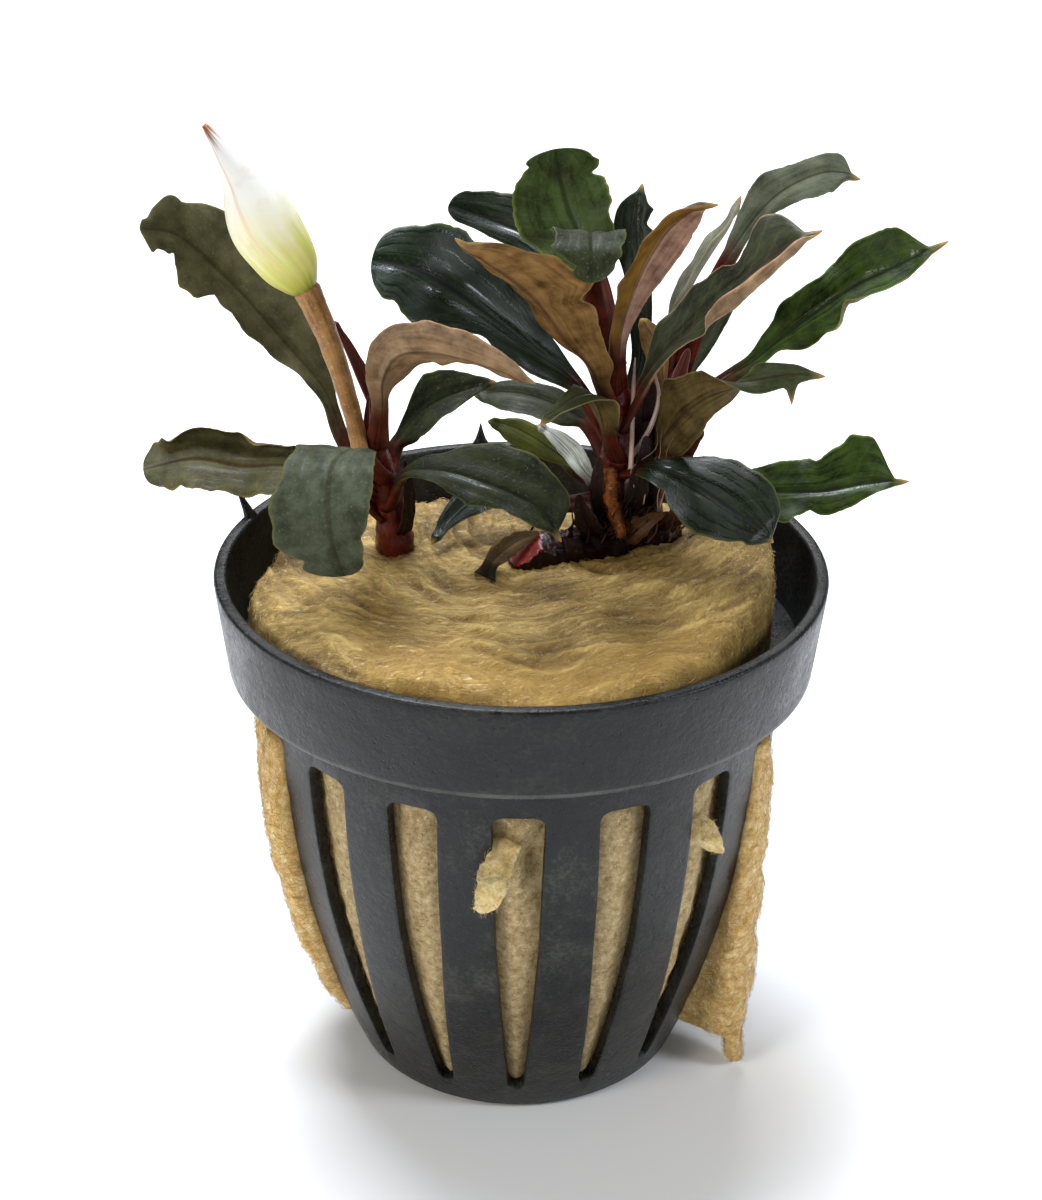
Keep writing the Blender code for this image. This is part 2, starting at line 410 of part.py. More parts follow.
def make_pot(parts, cutters):
    data = bpy.data.meshes.new("net_pot")
    profile = pot_profile()
    edges = [(i, i + 1) for i in range(len(profile) - 1)]
    data.from_pydata([(r * MM, 0, z * MM) for r, z in profile], edges, [])
    pot = bpy.data.objects.new("net_pot", data)
    parts.objects.link(pot)
    screw = pot.modifiers.new("turned", "SCREW")
    screw.steps = screw.render_steps = POT_STEPS
    screw.use_merge_vertices = True
    screw.merge_threshold = 0.00005
    screw.use_normal_calculate = True
    screw.use_smooth_shade = True

    upright = Matrix.Rotation(math.pi / 2, 4, "X")
    outward = Matrix.Translation((0, -(SLOT_INNER_RADIUS + SLOT_OUTER_RADIUS) / 2 * MM, 0))
    turns = [Matrix.Rotation(slot_azimuth(i) + math.pi / 2, 4, "Z") for i in range(SLOTS)]
    slots = ring_of_copies(slot_cutter(parts), [turn @ outward @ upright for turn in turns], "slots", parts)
    make_cutter(slots, cutters)
    boolean(pot, slots, "DIFFERENCE")

    turns = [Matrix.Rotation(2 * math.pi * i / DRAINS, 4, "Z") for i in range(DRAINS)]
    drains = ring_of_copies(drain_cutter(parts), turns, "drains", parts)
    make_cutter(drains, cutters)
    boolean(pot, drains, "DIFFERENCE")

    for number, (azimuth, height, lean) in enumerate(RIM_POINTS):
        turn = Matrix.Rotation(math.radians(azimuth), 4, "Z")
        middle = RIM_RADIUS - RIM_WALL / 2
        levels = [(POT_HEIGHT - RIM_POINT_ROOT, *RIM_POINT_BASE), (POT_HEIGHT, *RIM_POINT_BASE),
                  (POT_HEIGHT + height, *RIM_POINT_END)]
        rings = []
        for z, deep, wide in levels:
            out = middle + lean * max(z - POT_HEIGHT, 0)
            rings.append([turn @ Vector((out + x * deep, y * wide, z))
                          for x, y in ((-1, -1), (1, -1), (1, 1), (-1, 1))])
        point = loft(f"rim_point_{number}", rings, parts)
        make_cutter(point, cutters)
        boolean(pot, point, "UNION")
    give_material(pot, "#3a3d40", 0.42)
    return pot


# The rock wool

def wool_top(x, y):
    z = WOOL_TOP + sum(rise * math.exp(-((x - cx) ** 2 + (y - cy) ** 2) / spread ** 2)
                       for cx, cy, rise, spread in WOOL_RELIEF)
    return z - max(y - WOOL_BACK_LINE, 0) * WOOL_BACK_SLOPE


def wool_rings():
    """From the floor up the side, over the shelf to the edge, then in across the top to its middle."""
    azimuths = [-180 + 360 * i / WOOL_POINTS for i in range(WOOL_POINTS)]
    around = [(math.cos(math.radians(a)), math.sin(math.radians(a)), along(WOOL_EDGE, a)) for a in azimuths]
    inset = POT_WALL + WOOL_CLEARANCE
    rings = [[Vector((c * WOOL_FOOT_RADIUS, s * WOOL_FOOT_RADIUS, WOOL_FLOOR)) for c, s, _ in around]]
    for z in (*INSIDE_LEVELS, SKIRT_BOTTOM):
        r = body_radius(z) - inset
        rings.append([Vector((c * r, s * r, z)) for c, s, _ in around])
    shelf = SKIRT_BOTTOM + POT_WALL + WOOL_CLEARANCE
    for rise, share in WOOL_EDGE_RISE:
        ring = []
        for c, s, edge in around:
            r = (BODY_TOP_RADIUS - inset) * (1 - share) + edge * share
            top = wool_top(c * edge, s * edge) - WOOL_EDGE_DROP
            ring.append(Vector((c * r, s * r, shelf + (top - shelf) * rise)))
        rings.append(ring)
    for share in WOOL_TOP_RINGS:
        ring = [(c * edge * share, s * edge * share) for c, s, edge in around]
        rings.append([Vector((x, y, wool_top(x, y))) for x, y in ring])
    return rings + [[Vector((0, 0, wool_top(0, 0)))]]


def bulge_rings(number, levels):
    """Wool that fills one slot and stands out past the ribs beside it."""
    azimuth = slot_azimuth(number)
    out = Vector((math.cos(azimuth), math.sin(azimuth), 0))
    side = Vector((-out.y, out.x, 0))
    rings = []
    for z, stands, half in levels:
        r = body_radius(z)
        within = slot_half_width(z) - WOOL_CLEARANCE
        if stands < BULGE_FLAT:
            right = [(r + stands, within * 0.5), (r + 0.2, within * 0.9), (r - 0.2, within)]
        else:
            right = [(r + stands, half * 0.55), (r + BULGE_BACK + 0.1, half), (r + BULGE_BACK, within)]
        right.append((r - BULGE_ROOT, within))
        left = [(a, -b) for a, b in reversed(right)]
        rings.append([out * a + side * b + Vector((0, 0, z)) for a, b in left + right])
    return rings


def tuft_rings():
    """Six-sided rings square to the tuft's middle line."""
    line = [Vector(point[:3]) for point in WOOL_TUFT]
    across = Vector((1, 0, 0))
    rings = []
    for i, (middle, point) in enumerate(zip(line, WOOL_TUFT)):
        up = across.cross(line[min(i + 1, len(line) - 1)] - line[max(i - 1, 0)]).normalized()
        rings.append([middle + point[3] * (across * math.cos(a) + up * TUFT_FLATNESS * math.sin(a))
                      for a in (math.pi / 3 * k for k in range(6))])
    return rings


def make_wool(parts, cutters, sunk):
    wool = loft("rock_wool", wool_rings(), parts)
    joined = [loft(f"wool_bulge_{n}", bulge_rings(n, levels), parts) for n, levels in WOOL_BULGES]
    joined.append(loft("wool_tuft", tuft_rings(), parts))
    for piece in joined:
        make_cutter(piece, cutters)
        boolean(wool, piece, "UNION")
    for name in sunk:
        pocket = limb_curve(name, GAP, parts)
        pocket.name = name + "_pocket"
        pocket = mesh_of(pocket, parts)
        make_cutter(pocket, cutters)
        boolean(wool, pocket, "DIFFERENCE")
    give_material(wool, "#b09a63", 0.95)
    wool.data.shade_smooth()
    return wool


# The plant

def limb_line(name):
    return smooth_line([Vector(p) for p in LIMBS[name].points], 2)


def limb_curve(name, swell, parts):
    """A stem as a bevelled curve, as thick along it as its points say, plus a swell."""
    curve = bpy.data.curves.new(name, "CURVE")
    curve.dimensions = "3D"
    curve.bevel_depth = MM
    curve.bevel_resolution = 2
    curve.use_fill_caps = True
    line = limb_line(name)
    if swell:
        for end, next_in in ((0, 1), (-1, -2)):
            further = line[end].to_3d() + (line[end] - line[next_in]).to_3d().normalized() * swell
            line[end] = Vector((*further, line[end][3]))
    spline = curve.splines.new("POLY")
    spline.points.add(len(line) - 1)
    for point, (x, y, z, r) in zip(spline.points, line):
        point.co = (x * MM, y * MM, z * MM, 1)
        point.radius = r + swell
    obj = bpy.data.objects.new(name, curve)
    parts.objects.link(obj)
    return obj


def make_limb(name, parts):
    obj = limb_curve(name, 0, parts)
    give_material(obj, LIMBS[name].colour, 0.35)
    return obj


def stem_at(name, z):
    """The middle and the radius of a stem at a height."""
    line = limb_line(name)
    for low, high in zip(line[:-1], line[1:]):
        if z <= high.z:
            break
    t = min(max((z - low.z) / (high.z - low.z), 0), 1)
    here = low.lerp(high, t)
    return Vector((here.x, here.y, here.z)), here[3]


def leaf_midrib(leaf):
    """The midrib from just clear of the stem to the tip, as many short steps."""
    middle, radius = stem_at(leaf.stem, leaf.height)
    way = Vector(leaf.midrib[0]) - middle
    steep = abs(way.normalized().z)
    way.z = 0
    foot = middle + way.normalized() * (radius + GAP + PETIOLE_RADIUS * steep)
    return smooth_line([foot] + [Vector(p) for p in leaf.midrib], 12)


def length_shares(line):
    lengths = [0.0]
    for a, b in zip(line[:-1], line[1:]):
        lengths.append(lengths[-1] + (b - a).length)
    return [v / lengths[-1] for v in lengths]


def point_at(line, shares, share):
    for i in range(1, len(line)):
        if share <= shares[i]:
            t = (share - shares[i - 1]) / (shares[i] - shares[i - 1])
            return line[i - 1].lerp(line[i], min(max(t, 0), 1))
    return line[-1].copy()


def heading(line, shares, share):
    ahead = point_at(line, shares, min(share + 0.02, 1))
    return (ahead - point_at(line, shares, max(share - 0.02, 0))).normalized()


def half_width(widths, t):
    """Half the blade at a share t of its length: smooth through the stations, round towards the tip."""
    if t > STATIONS[-1]:
        left = (1 - t) / (1 - STATIONS[-1])
        return widths[-1] * math.sqrt(max(1 - (1 - left) ** 2, 0))
    places = [(0.0, PETIOLE_RADIUS)] + list(zip(STATIONS, widths))
    for (t0, w0), (t1, w1) in zip(places[:-1], places[1:]):
        if t <= t1:
            s = (t - t0) / (t1 - t0)
            return w0 + (w1 - w0) * s * s * (3 - 2 * s)
    return widths[-1]


def leaf_rings(leaf):
    """Eight-sided rings, round along the stalk and flat along the blade, which end in the tip's point."""
    line = leaf_midrib(leaf)
    shares = length_shares(line)
    middle = leaf.stalk + (1 - leaf.stalk) / 2
    across = heading(line, shares, middle).cross(Vector(leaf.face)).normalized()
    rings = []
    blade = {0, *STATIONS, NEAR_TIP}
    if leaf.twist:
        blade = {t for t in blade if not TWIST_FROM <= t < TWIST_TO}
        blade |= {TWIST_FROM + (TWIST_TO - TWIST_FROM) * i / TWIST_STEPS for i in range(TWIST_STEPS + 1)}
    stops = [0.0] + [leaf.stalk + (1 - leaf.stalk) * t for t in sorted(blade)]
    if leaf.stalk >= LONG_STALK:
        stops.insert(1, leaf.stalk / 2)
    for share in stops:
        t = max(share - leaf.stalk, 0) / (1 - leaf.stalk)
        forward = heading(line, shares, share)
        right = (across - forward * across.dot(forward)).normalized()
        turned = min(max((t - TWIST_FROM) / (TWIST_TO - TWIST_FROM), 0), 1)
        right = Matrix.Rotation(math.radians(leaf.twist) * turned, 3, forward) @ right
        up = right.cross(forward).normalized()
        flat = min(t / STATIONS[0], 1)
        deep = PETIOLE_RADIUS + (LEAF_THICKNESS / 2 - PETIOLE_RADIUS) * flat
        if t > STATIONS[-1]:
            deep *= 0.7
        wide = half_width(leaf.left, t), half_width(leaf.right, t)
        lift = math.tan(math.radians(leaf.fold)) * flat
        centre = point_at(line, shares, share)
        ring = []
        for u, side in LEAF_SECTION:
            reach = u * (wide[0] if u < 0 else wide[1])
            ring.append(centre + right * reach + up * (side * deep + abs(reach) * lift))
        rings.append(ring)
    return rings + [[line[-1]]]


def make_leaf(name, parts):
    obj = loft(name, leaf_rings(LEAVES[name]), parts)
    give_material(obj, LEAVES[name].colour, 0.35)
    obj.data.shade_smooth()
    return obj


def make_spathe(parts):
    """The flower's closed hood: oval rings round its middle line, drawn out to a point."""
    line = [Vector(p) for p in SPATHE]
    rings = []
    for i, here in enumerate(line):
        before, after = line[max(i - 1, 0)], line[min(i + 1, len(line) - 1)]
        forward = (after.to_3d() - before.to_3d()).normalized()
        right = forward.cross(Vector((0, -1, 0))).normalized()
        up = right.cross(forward)
        rings.append([here.to_3d() + right * here[3] * math.cos(a) + up * here[4] * math.sin(a)
                      for a in (2 * math.pi * k / SPATHE_POINTS for k in range(SPATHE_POINTS))])
    obj = loft("flower_spathe", rings, parts)
    give_material(obj, "#fff4d6", 0.5)
    obj.data.shade_smooth()
    return obj


def main():
    clear_scene()
    parts = collection("potted_bucephalandra")
    cutters = collection("cutters")
    make_pot(parts, cutters)
    make_wool(parts, cutters, ["left_stem", "rhizome"])
    for name in LIMBS:
        make_limb(name, parts)
    make_spathe(parts)
    for name in LEAVES:
        make_leaf(name, parts)


main()
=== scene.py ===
# %% [markdown]
# # A flowering aquarium plant in its net pot
#
# The plant is a small Bucephalandra: two tufts of leathery leaves on a creeping stem, and one flower still
# closed in its cream hood. It is rooted in a block of rock wool, and the wool sits in a slotted plastic pot
# 50 mm across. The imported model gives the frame, and each piece made here stands in place of its plain solid.

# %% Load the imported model
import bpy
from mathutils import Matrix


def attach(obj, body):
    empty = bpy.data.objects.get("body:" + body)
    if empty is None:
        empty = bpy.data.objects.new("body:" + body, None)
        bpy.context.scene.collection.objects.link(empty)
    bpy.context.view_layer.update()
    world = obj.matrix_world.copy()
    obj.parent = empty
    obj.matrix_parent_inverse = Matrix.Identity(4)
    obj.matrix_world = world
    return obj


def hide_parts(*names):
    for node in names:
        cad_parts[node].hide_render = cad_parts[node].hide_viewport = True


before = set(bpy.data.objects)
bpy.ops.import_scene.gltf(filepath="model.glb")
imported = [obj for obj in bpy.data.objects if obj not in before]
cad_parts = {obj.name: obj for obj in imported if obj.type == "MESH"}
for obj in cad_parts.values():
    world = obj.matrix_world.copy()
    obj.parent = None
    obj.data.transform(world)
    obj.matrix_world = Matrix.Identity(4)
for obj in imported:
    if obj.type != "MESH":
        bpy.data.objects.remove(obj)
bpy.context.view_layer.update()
print("nodes in the frame:", len(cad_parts))

# %% [markdown]
# ## Units and small tools
#
# Every length below is written in millimetres, because the whole plant is only 82 mm tall, and is multiplied
# by MM where a mesh is made. Colours are sRGB hex values as a paint chart gives them, and one function turns
# them into the linear light values that shaders take. A node's inputs are given by name or in the node's own
# order: a map range takes its value, the start and end of the range that comes in, and those of the range
# that goes out.

# %% Units, colours and nodes
import math
from collections import namedtuple
from functools import partial

import bpy
import bmesh
from mathutils import Matrix, Vector, noise

MM = 0.001
noise.seed_set(5)  # the clock would set it otherwise, and the lips, tufts and strands would vary


def linear(hex_colour):
    """An sRGB hex colour as linear red, green, blue and alpha."""
    channels = [int(hex_colour[i:i + 2], 16) / 255 for i in (1, 3, 5)]
    return (*[c / 12.92 if c <= 0.04045 else ((c + 0.055) / 1.055) ** 2.4 for c in channels], 1.0)


def feed(node, inputs):
    """Sets inputs, given by name or number or in their own order: a socket is linked, a value is set."""
    for key, value in inputs.items() if isinstance(inputs, dict) else enumerate(inputs):
        if isinstance(value, bpy.types.NodeSocket):
            node.id_data.links.new(value, node.inputs[key])
        else:
            node.inputs[key].default_value = value


def add_node(tree, kind, inputs=(), out=0, ramp=(), **settings):
    """Adds a node and gives back one output. Settings are its properties, ramp its colour stops."""
    made = tree.nodes.new(kind if "Node" in kind else "ShaderNode" + kind)
    for name, value in settings.items():
        setattr(made, name, value)
    feed(made, inputs)
    for i, (place, shade) in enumerate(ramp):
        stop = made.color_ramp.elements[i] if i < 2 else made.color_ramp.elements.new(place)
        stop.position = place
        stop.color = linear(shade)
    return made.outputs[out] if made.outputs else made


def new_material(name):
    """A material, an add-node function of its own, its shader, and the object's coordinates in millimetres."""
    made = bpy.data.materials.new(name)
    made.use_nodes = True
    node = partial(add_node, made.node_tree)
    place = node("TexCoord", out="Object")
    in_mm = node("VectorMath", {0: place, "Scale": 1 / MM}, operation="SCALE")
    return made, node, made.node_tree.nodes["Principled BSDF"], in_mm


print("red-brown in linear light:", [round(c, 3) for c in linear("#5b1712")])

# %% [markdown]
# Every piece is a plain mesh whose points already lie where they belong, so its object stays at the origin.
# Each one rides on the model's only body and replaces the solid of the same place. Most pieces are lofts: a
# skin through rings of points, like hoops under cloth.


# %% Making and placing a piece
def new_mesh(name, points, faces, skin, smooth=True, edges=()):
    """A mesh object from points in millimetres."""
    data = bpy.data.meshes.new(name)
    data.from_pydata([tuple(p * MM) for p in points], edges, faces)
    data.materials.append(skin)
    if smooth:
        data.shade_smooth()
    made = bpy.data.objects.new(name, data)
    bpy.context.scene.collection.objects.link(made)
    return made


def loft(rings, tip=None):
    """Points and faces of a skin through rings of one count, with flat ends or the last drawn to a tip."""
    count = len(rings[0])
    points = [p for ring in rings for p in ring]
    faces = []
    for start in range(0, len(points) - count, count):
        for k in range(count):
            a, b = start + k, start + (k + 1) % count
            faces.append((a, b, b + count, a + count))
    first, last = tuple(range(count - 1, -1, -1)), len(points) - count
    if tip is None:
        return points, faces + [first, tuple(range(last, len(points)))]
    fan = [(last + k, last + (k + 1) % count, len(points)) for k in range(count)]
    return points + [tip], faces + fan + [first]


def outward(piece):
    """Turns a closed mesh's faces to point outwards."""
    mesh = bmesh.new()
    mesh.from_mesh(piece.data)
    bmesh.ops.recalc_face_normals(mesh, faces=mesh.faces)
    mesh.to_mesh(piece.data)
    mesh.free()
    return piece


def mark(piece, label, values):
    """Gives each point of a piece a value that a material or a node tree can read."""
    piece.data.attributes.new(label, "FLOAT", "POINT").data.foreach_set("value", values)


def settle(piece, node):
    """Rides the piece on the root body, in place of a node."""
    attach(piece, "root")
    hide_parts(node)
    return piece


def applied(piece):
    """The piece as a plain mesh, its modifiers worked into it."""
    bpy.context.view_layer.update()
    seen = piece.evaluated_get(bpy.context.evaluated_depsgraph_get())
    data = bpy.data.meshes.new_from_object(seen)
    piece.modifiers.clear()
    piece.data = data
    return piece


def bumps(x, y, z):
    """Smooth noise at a place, from about -1 to 1."""
    return noise.noise(Vector((x, y, z)))


def turn_of(count):
    """Evenly spaced angles, once round."""
    return [2 * math.pi * k / count for k in range(count)]


print("noise at one place:", round(bumps(0.5, 0.2, 0.1), 2))

# %% [markdown]
# ## The camera
#
# The pot's rim is a circle of known size, and the way it flattens in the picture tells how the camera looks
# down: 27 degrees. It stands 165 mm in front of the pot's axis and 125 mm up, and leans half a degree.

# %% Camera
eye = bpy.data.cameras.new("camera")
eye.sensor_fit = "VERTICAL"
eye.sensor_height = 36.0
eye.lens = 67.35
eye.clip_start = 0.01
camera = bpy.data.objects.new("camera", eye)
LOOKS_DOWN, LEANS = math.radians(27), math.radians(0.59)
camera.matrix_world = (Matrix.Translation((0, -165 * MM, 125.4 * MM))
                       @ Matrix.Rotation(math.pi / 2 - LOOKS_DOWN, 4, "X") @ Matrix.Rotation(LEANS, 4, "Z"))
bpy.context.scene.collection.objects.link(camera)
bpy.context.scene.camera = camera
print("camera at", [round(v / MM, 1) for v in camera.location])

# %% [markdown]
# ## Floor and light
#
# A pale floor and large soft lamps, as in a product picture: one overhead, which draws the long pale
# highlights on the glossy leaves, one low at the front left, a weaker one at the right, and one behind.

# %% Floor
floor_skin, node, shader, in_mm = new_material("white_paper_floor")
feed(shader, {"Base Color": linear("#f4f4f2"), "Roughness": 0.8})
FLOOR_HALF = 1500.0
corners = [Vector((x * FLOOR_HALF, y * FLOOR_HALF, -0.02)) for x, y in ((-1, -1), (1, -1), (1, 1), (-1, 1))]
floor = new_mesh("floor", corners, [(0, 1, 2, 3)], floor_skin)
print("floor, mm across:", 2 * FLOOR_HALF)

# %% Lamps and sky
LAMPS = [
    # name, place, what it aims at, size, watts, tint
    ("overhead", (-60, 120, 460), (0, 0, 50), 220, 3.6, "#eef3ff"),
    ("front_left", (-420, -380, 330), (0, 0, 40), 220, 1.6, "#fffaf2"),
    ("front_right", (430, -200, 330), (0, 0, 50), 130, 1.3, "#eef3ff"),
    ("behind", (0, 560, 470), (0, 430, 0), 300, 1.6, "#ffffff"),
]
for name, place, aim, size, watts, tint in LAMPS:
    light = bpy.data.lights.new(name, "AREA")
    light.size = size * MM
    light.energy = watts
    light.color = linear(tint)[:3]
    lamp = bpy.data.objects.new(name, light)
    lamp.location = Vector(place) * MM
    lamp.rotation_euler = (Vector(aim) - Vector(place)).to_track_quat("-Z", "Y").to_euler()
    bpy.context.scene.collection.objects.link(lamp)
sky = bpy.data.worlds.new("studio")
sky.use_nodes = True
feed(sky.node_tree.nodes["Background"], {"Color": linear("#f2f4f6"), "Strength": 0.26})
bpy.context.scene.world = sky
bpy.context.scene.view_settings.view_transform = "Standard"
print("lamps:", len(LAMPS))

# %% [markdown]
# ## The net pot
#
# The pot is injection-moulded polypropylene: a thin wall that curves in to its foot, sixteen tall slots, a
# skirt that hangs outside the wall, and a plain rim. The wall repeats sixteen times, so one sixteenth is
# modelled with its slot and a Geometry Nodes tree sets it round the axis. Solidify then gives the wall its
# 1 mm, and Bevel the small rounding that catches the light along each slot.

# %% The pot's sizes
POT_HEIGHT, RIM_RADIUS, RIM_WALL = 45.0, 25.0, 1.07
SKIRT_BOTTOM, SKIRT_RADIUS = 37.0, 24.2
BODY_TOP_RADIUS, BASE_RADIUS, BODY_CURVE = 21.55, 14.1, 2.1
POT_WALL, FLOOR_THICK = 1.0, 1.2
SLOTS, FRONT_SLOT = 16, 4
SLOT_SIDE = [(3.05, 0.35), (3.25, 0.55), (3.7, 0.7), (12.0, 1.25), (20.0, 1.75), (32.8, 2.08), (33.15, 2.0),
             (33.42, 1.82), (33.6, 1.56), (33.7, 1.2)]
DRAIN_SIDE = [(5.0, 0.35), (5.3, 0.8), (5.7, 1.0), (9.8, 1.0), (10.2, 0.8), (10.5, 0.35)]


def along(pairs, x):
    """The value at x on a line through (x, value) pairs."""
    for (x0, v0), (x1, v1) in zip(pairs[:-1], pairs[1:]):
        if x <= x1:
            return v0 + (v1 - v0) * max(x - x0, 0) / (x1 - x0)
    return pairs[-1][1]


def wall_radius(z):
    """The wall's outside: it curves in towards the foot."""
    body = BODY_TOP_RADIUS - (BODY_TOP_RADIUS - BASE_RADIUS) * max(1 - z / SKIRT_BOTTOM, 0) ** BODY_CURVE
    return body - 0.5 * max(1 - z / 0.5, 0) ** 2


def slot_azimuth(number):
    return -math.pi / 2 + (number - FRONT_SLOT) * 2 * math.pi / SLOTS


print("wall radius at the foot, middle and top:", [round(wall_radius(z), 1) for z in (0, 18, 37)])


# %% One sixteenth of the wall, and an eighth of the floor
def slotted_sector(rows, radius_height, side, half_angle, rib_steps, slot_steps):
    """A grid of points over one sector, with the faces left out where the slot is."""
    points, faces = [], []
    for row in rows:
        radius, z = radius_height(row)
        edge = math.asin(min(along(side, row) / max(radius, 0.01), 0.9 * math.sin(half_angle)))
        angles = [-half_angle + (half_angle - edge) * i / rib_steps for i in range(rib_steps)]
        angles += [-edge + 2 * edge * i / slot_steps for i in range(slot_steps + 1)]
        angles += [edge + (half_angle - edge) * i / rib_steps for i in range(1, rib_steps + 1)]
        points += [Vector((radius * math.cos(a), radius * math.sin(a), z)) for a in angles]
    count = 2 * rib_steps + slot_steps + 1
    for r in range(len(rows) - 1):
        cut = side[0][0] <= rows[r] and rows[r + 1] <= side[-1][0]
        for c in range(count - 1):
            if not cut or not rib_steps <= c < rib_steps + slot_steps:
                a = r * count + c
                faces.append((a, a + 1, a + count + 1, a + count))
    return points, faces


wall_rows = sorted({0.0, 0.15, 0.5, 1.6, 35.0, 36.2, 37.6} | {z for z, _ in SLOT_SIDE}
                   | {5.0 + 2.0 * i for i in range(14)})
wall_sector = slotted_sector(wall_rows, lambda z: (wall_radius(z), z), SLOT_SIDE, math.pi / SLOTS, 6, 6)
floor_rows = sorted({0.0, 2.5, 4.0, 7.0, 8.5, 11.5, 12.6, 13.2} | {r for r, _ in DRAIN_SIDE})
floor_sector = slotted_sector(floor_rows, lambda r: (r, 0.0), DRAIN_SIDE, math.pi / 8, 4, 4)
print("points in one sixteenth of the wall:", len(wall_sector[0]))

# %% [markdown]
# The tree takes one sector, sets copies of it round the axis, makes them real and welds the seams. Its count
# is a named input, so the same tree makes the sixteen-part wall and the eight-part floor.


# %% A Geometry Nodes ring
def new_tree(name, inputs):
    """A tree with named inputs: the tree, its add-node function, its inputs' identifiers and their sockets."""
    tree = bpy.data.node_groups.new(name, "GeometryNodeTree")
    new_socket = tree.interface.new_socket
    names = {label: new_socket(label, in_out="INPUT", socket_type="NodeSocket" + kind).identifier
             for label, kind in inputs.items()}
    new_socket("Mesh", in_out="OUTPUT", socket_type="NodeSocketGeometry")
    node = partial(add_node, tree)
    return tree, node, names, node("NodeGroupInput").node.outputs


ring_tree, node, ring_inputs, given = new_tree(
    "ring_of_sectors", {"Sector": "Geometry", "Count": "Int", "Skin": "Material"})
places = node("GeometryNodeMeshLine", {"Count": given["Count"], "Offset": (0, 0, 0)})
step = node("Math", (2 * math.pi, given["Count"]), operation="DIVIDE")
angle = node("Math", (node("GeometryNodeInputIndex"), step), operation="MULTIPLY")
turn = node("CombineXYZ", {"Z": angle})
copies = node("GeometryNodeInstanceOnPoints",
              {"Points": places, "Instance": given["Sector"], "Rotation": turn})
real = node("GeometryNodeRealizeInstances", (copies,))
welded = node("GeometryNodeMergeByDistance", {"Geometry": real, "Distance": 0.01 * MM})
node("NodeGroupOutput", (node("GeometryNodeSetMaterial", {"Geometry": welded, "Material": given["Skin"]}),))
print("nodes in the ring tree:", len(ring_tree.nodes))

# %% [markdown]
# ### Moulded polypropylene
#
# Dark slate-grey polypropylene straight from the mould: satin, a little scuffed, with tiny pits about 1 mm
# apart. The rim and skirt are darker, as painted shade, and a broken pale line runs along the skirt's lower
# edge, partly lime and partly a painted highlight. The gloss is gentle, as at an IOR of about 1.36.

# %% Pot material
pot_skin, node, shader, in_mm = new_material("moulded_polypropylene")
clouds = node("TexNoise", {"Vector": in_mm, "Scale": 0.22, "Detail": 7.0, "Roughness": 0.7})
dust = node("TexNoise", {"Vector": in_mm, "Scale": 2.4, "Detail": 4.0, "Roughness": 0.75})
both = node("Math", (clouds, dust), operation="MULTIPLY")
height = node("SeparateXYZ", (in_mm,), "Z")
scuffs = node("MapRange", (both, 0.26, 0.39, 0, 0.6))
# A pale line along the skirt's lower edge: partly lime, partly a painted highlight where the edge catches the
# light.
LIME_HEIGHT, LIME_HALF = SKIRT_BOTTOM + 0.2, 0.3
at_edge = node("Math", (height, LIME_HEIGHT, LIME_HALF), operation="COMPARE")
broken = node("MapRange", (clouds, 0.3, 0.62, 0, 0.5))
lime = node("Math", (at_edge, broken), operation="MULTIPLY")
# The rim and skirt darken above the skirt's foot: painted shade.
rim_shade = node("MapRange", (height, SKIRT_BOTTOM + 0.5, SKIRT_BOTTOM + 1.2, 0, 0.5))
slate = node("ValToRGB", (clouds,), ramp=[(0.32, "#090a09"), (0.66, "#1d1e1b")])
for share, shade in ((scuffs, "#4a4b44"), (lime, "#62635c"), (rim_shade, "#040504")):
    slate = node("Mix", {0: share, 6: slate, 7: linear(shade)}, 2, data_type="RGBA")
pits = node("TexVoronoi", {"Vector": in_mm, "Scale": 1.1, "Randomness": 1.0})
swell = node("Math", (clouds, 5.0, node("MapRange", (pits, 0.04, 0.16, 0, 1))), operation="MULTIPLY_ADD")
grain = node("Math", (swell, dust), operation="ADD")
feed(shader, {"Base Color": slate, "IOR": 1.36, "Roughness": node("MapRange", (both, 0.15, 0.4, 0.22, 0.55)),
              "Normal": node("Bump", {"Height": grain, "Strength": 0.8, "Distance": 0.06 * MM})})
print("pot material:", pot_skin.name)


# %% Wall and floor of the pot
def ringed(name, sector, count, thick):
    """A ring of sectors, given a thickness and rounded edges."""
    piece = new_mesh(name, *sector, pot_skin, smooth=False)
    ring = piece.modifiers.new("ring", "NODES")
    ring.node_group = ring_tree
    ring[ring_inputs["Count"]] = count
    ring[ring_inputs["Skin"]] = pot_skin
    wall = piece.modifiers.new("wall", "SOLIDIFY")
    wall.thickness = thick * MM
    wall.offset = -1
    wall.use_even_offset = True
    edge = piece.modifiers.new("edge", "BEVEL")
    edge.width = 0.14 * MM
    edge.segments = 2
    edge.limit_method = "ANGLE"
    edge.angle_limit = math.radians(50)
    applied(piece)
    piece.data.shade_smooth()
    piece.data.set_sharp_from_angle(angle=math.radians(40))
    return piece


pot_wall = ringed("net_pot_wall", wall_sector, SLOTS, POT_WALL)
pot_wall.data.transform(Matrix.Rotation(slot_azimuth(0), 4, "Z"))
pot_floor = ringed("net_pot_floor", floor_sector, 8, FLOOR_THICK)
for piece in (pot_wall, pot_floor):
    settle(piece, "net_pot")
    print(piece.name, "has", len(piece.data.polygons), "faces")

# %% [markdown]
# The rim and skirt are one turned form, so a profile with a Screw modifier makes them. The two small points
# on the lip are left from the moulding, where a tag was broken off.

# %% Rim and skirt
SHELF = SKIRT_BOTTOM + POT_WALL


def rounded(r, z, across, up, size=0.28):
    """A corner drawn as four points: across and up say which way the two sides leave it."""
    return [(r + across * size * (1 - math.sin(t)), z + up * size * (1 - math.cos(t)))
            for t in (0, math.pi / 6, math.pi / 3, math.pi / 2)]


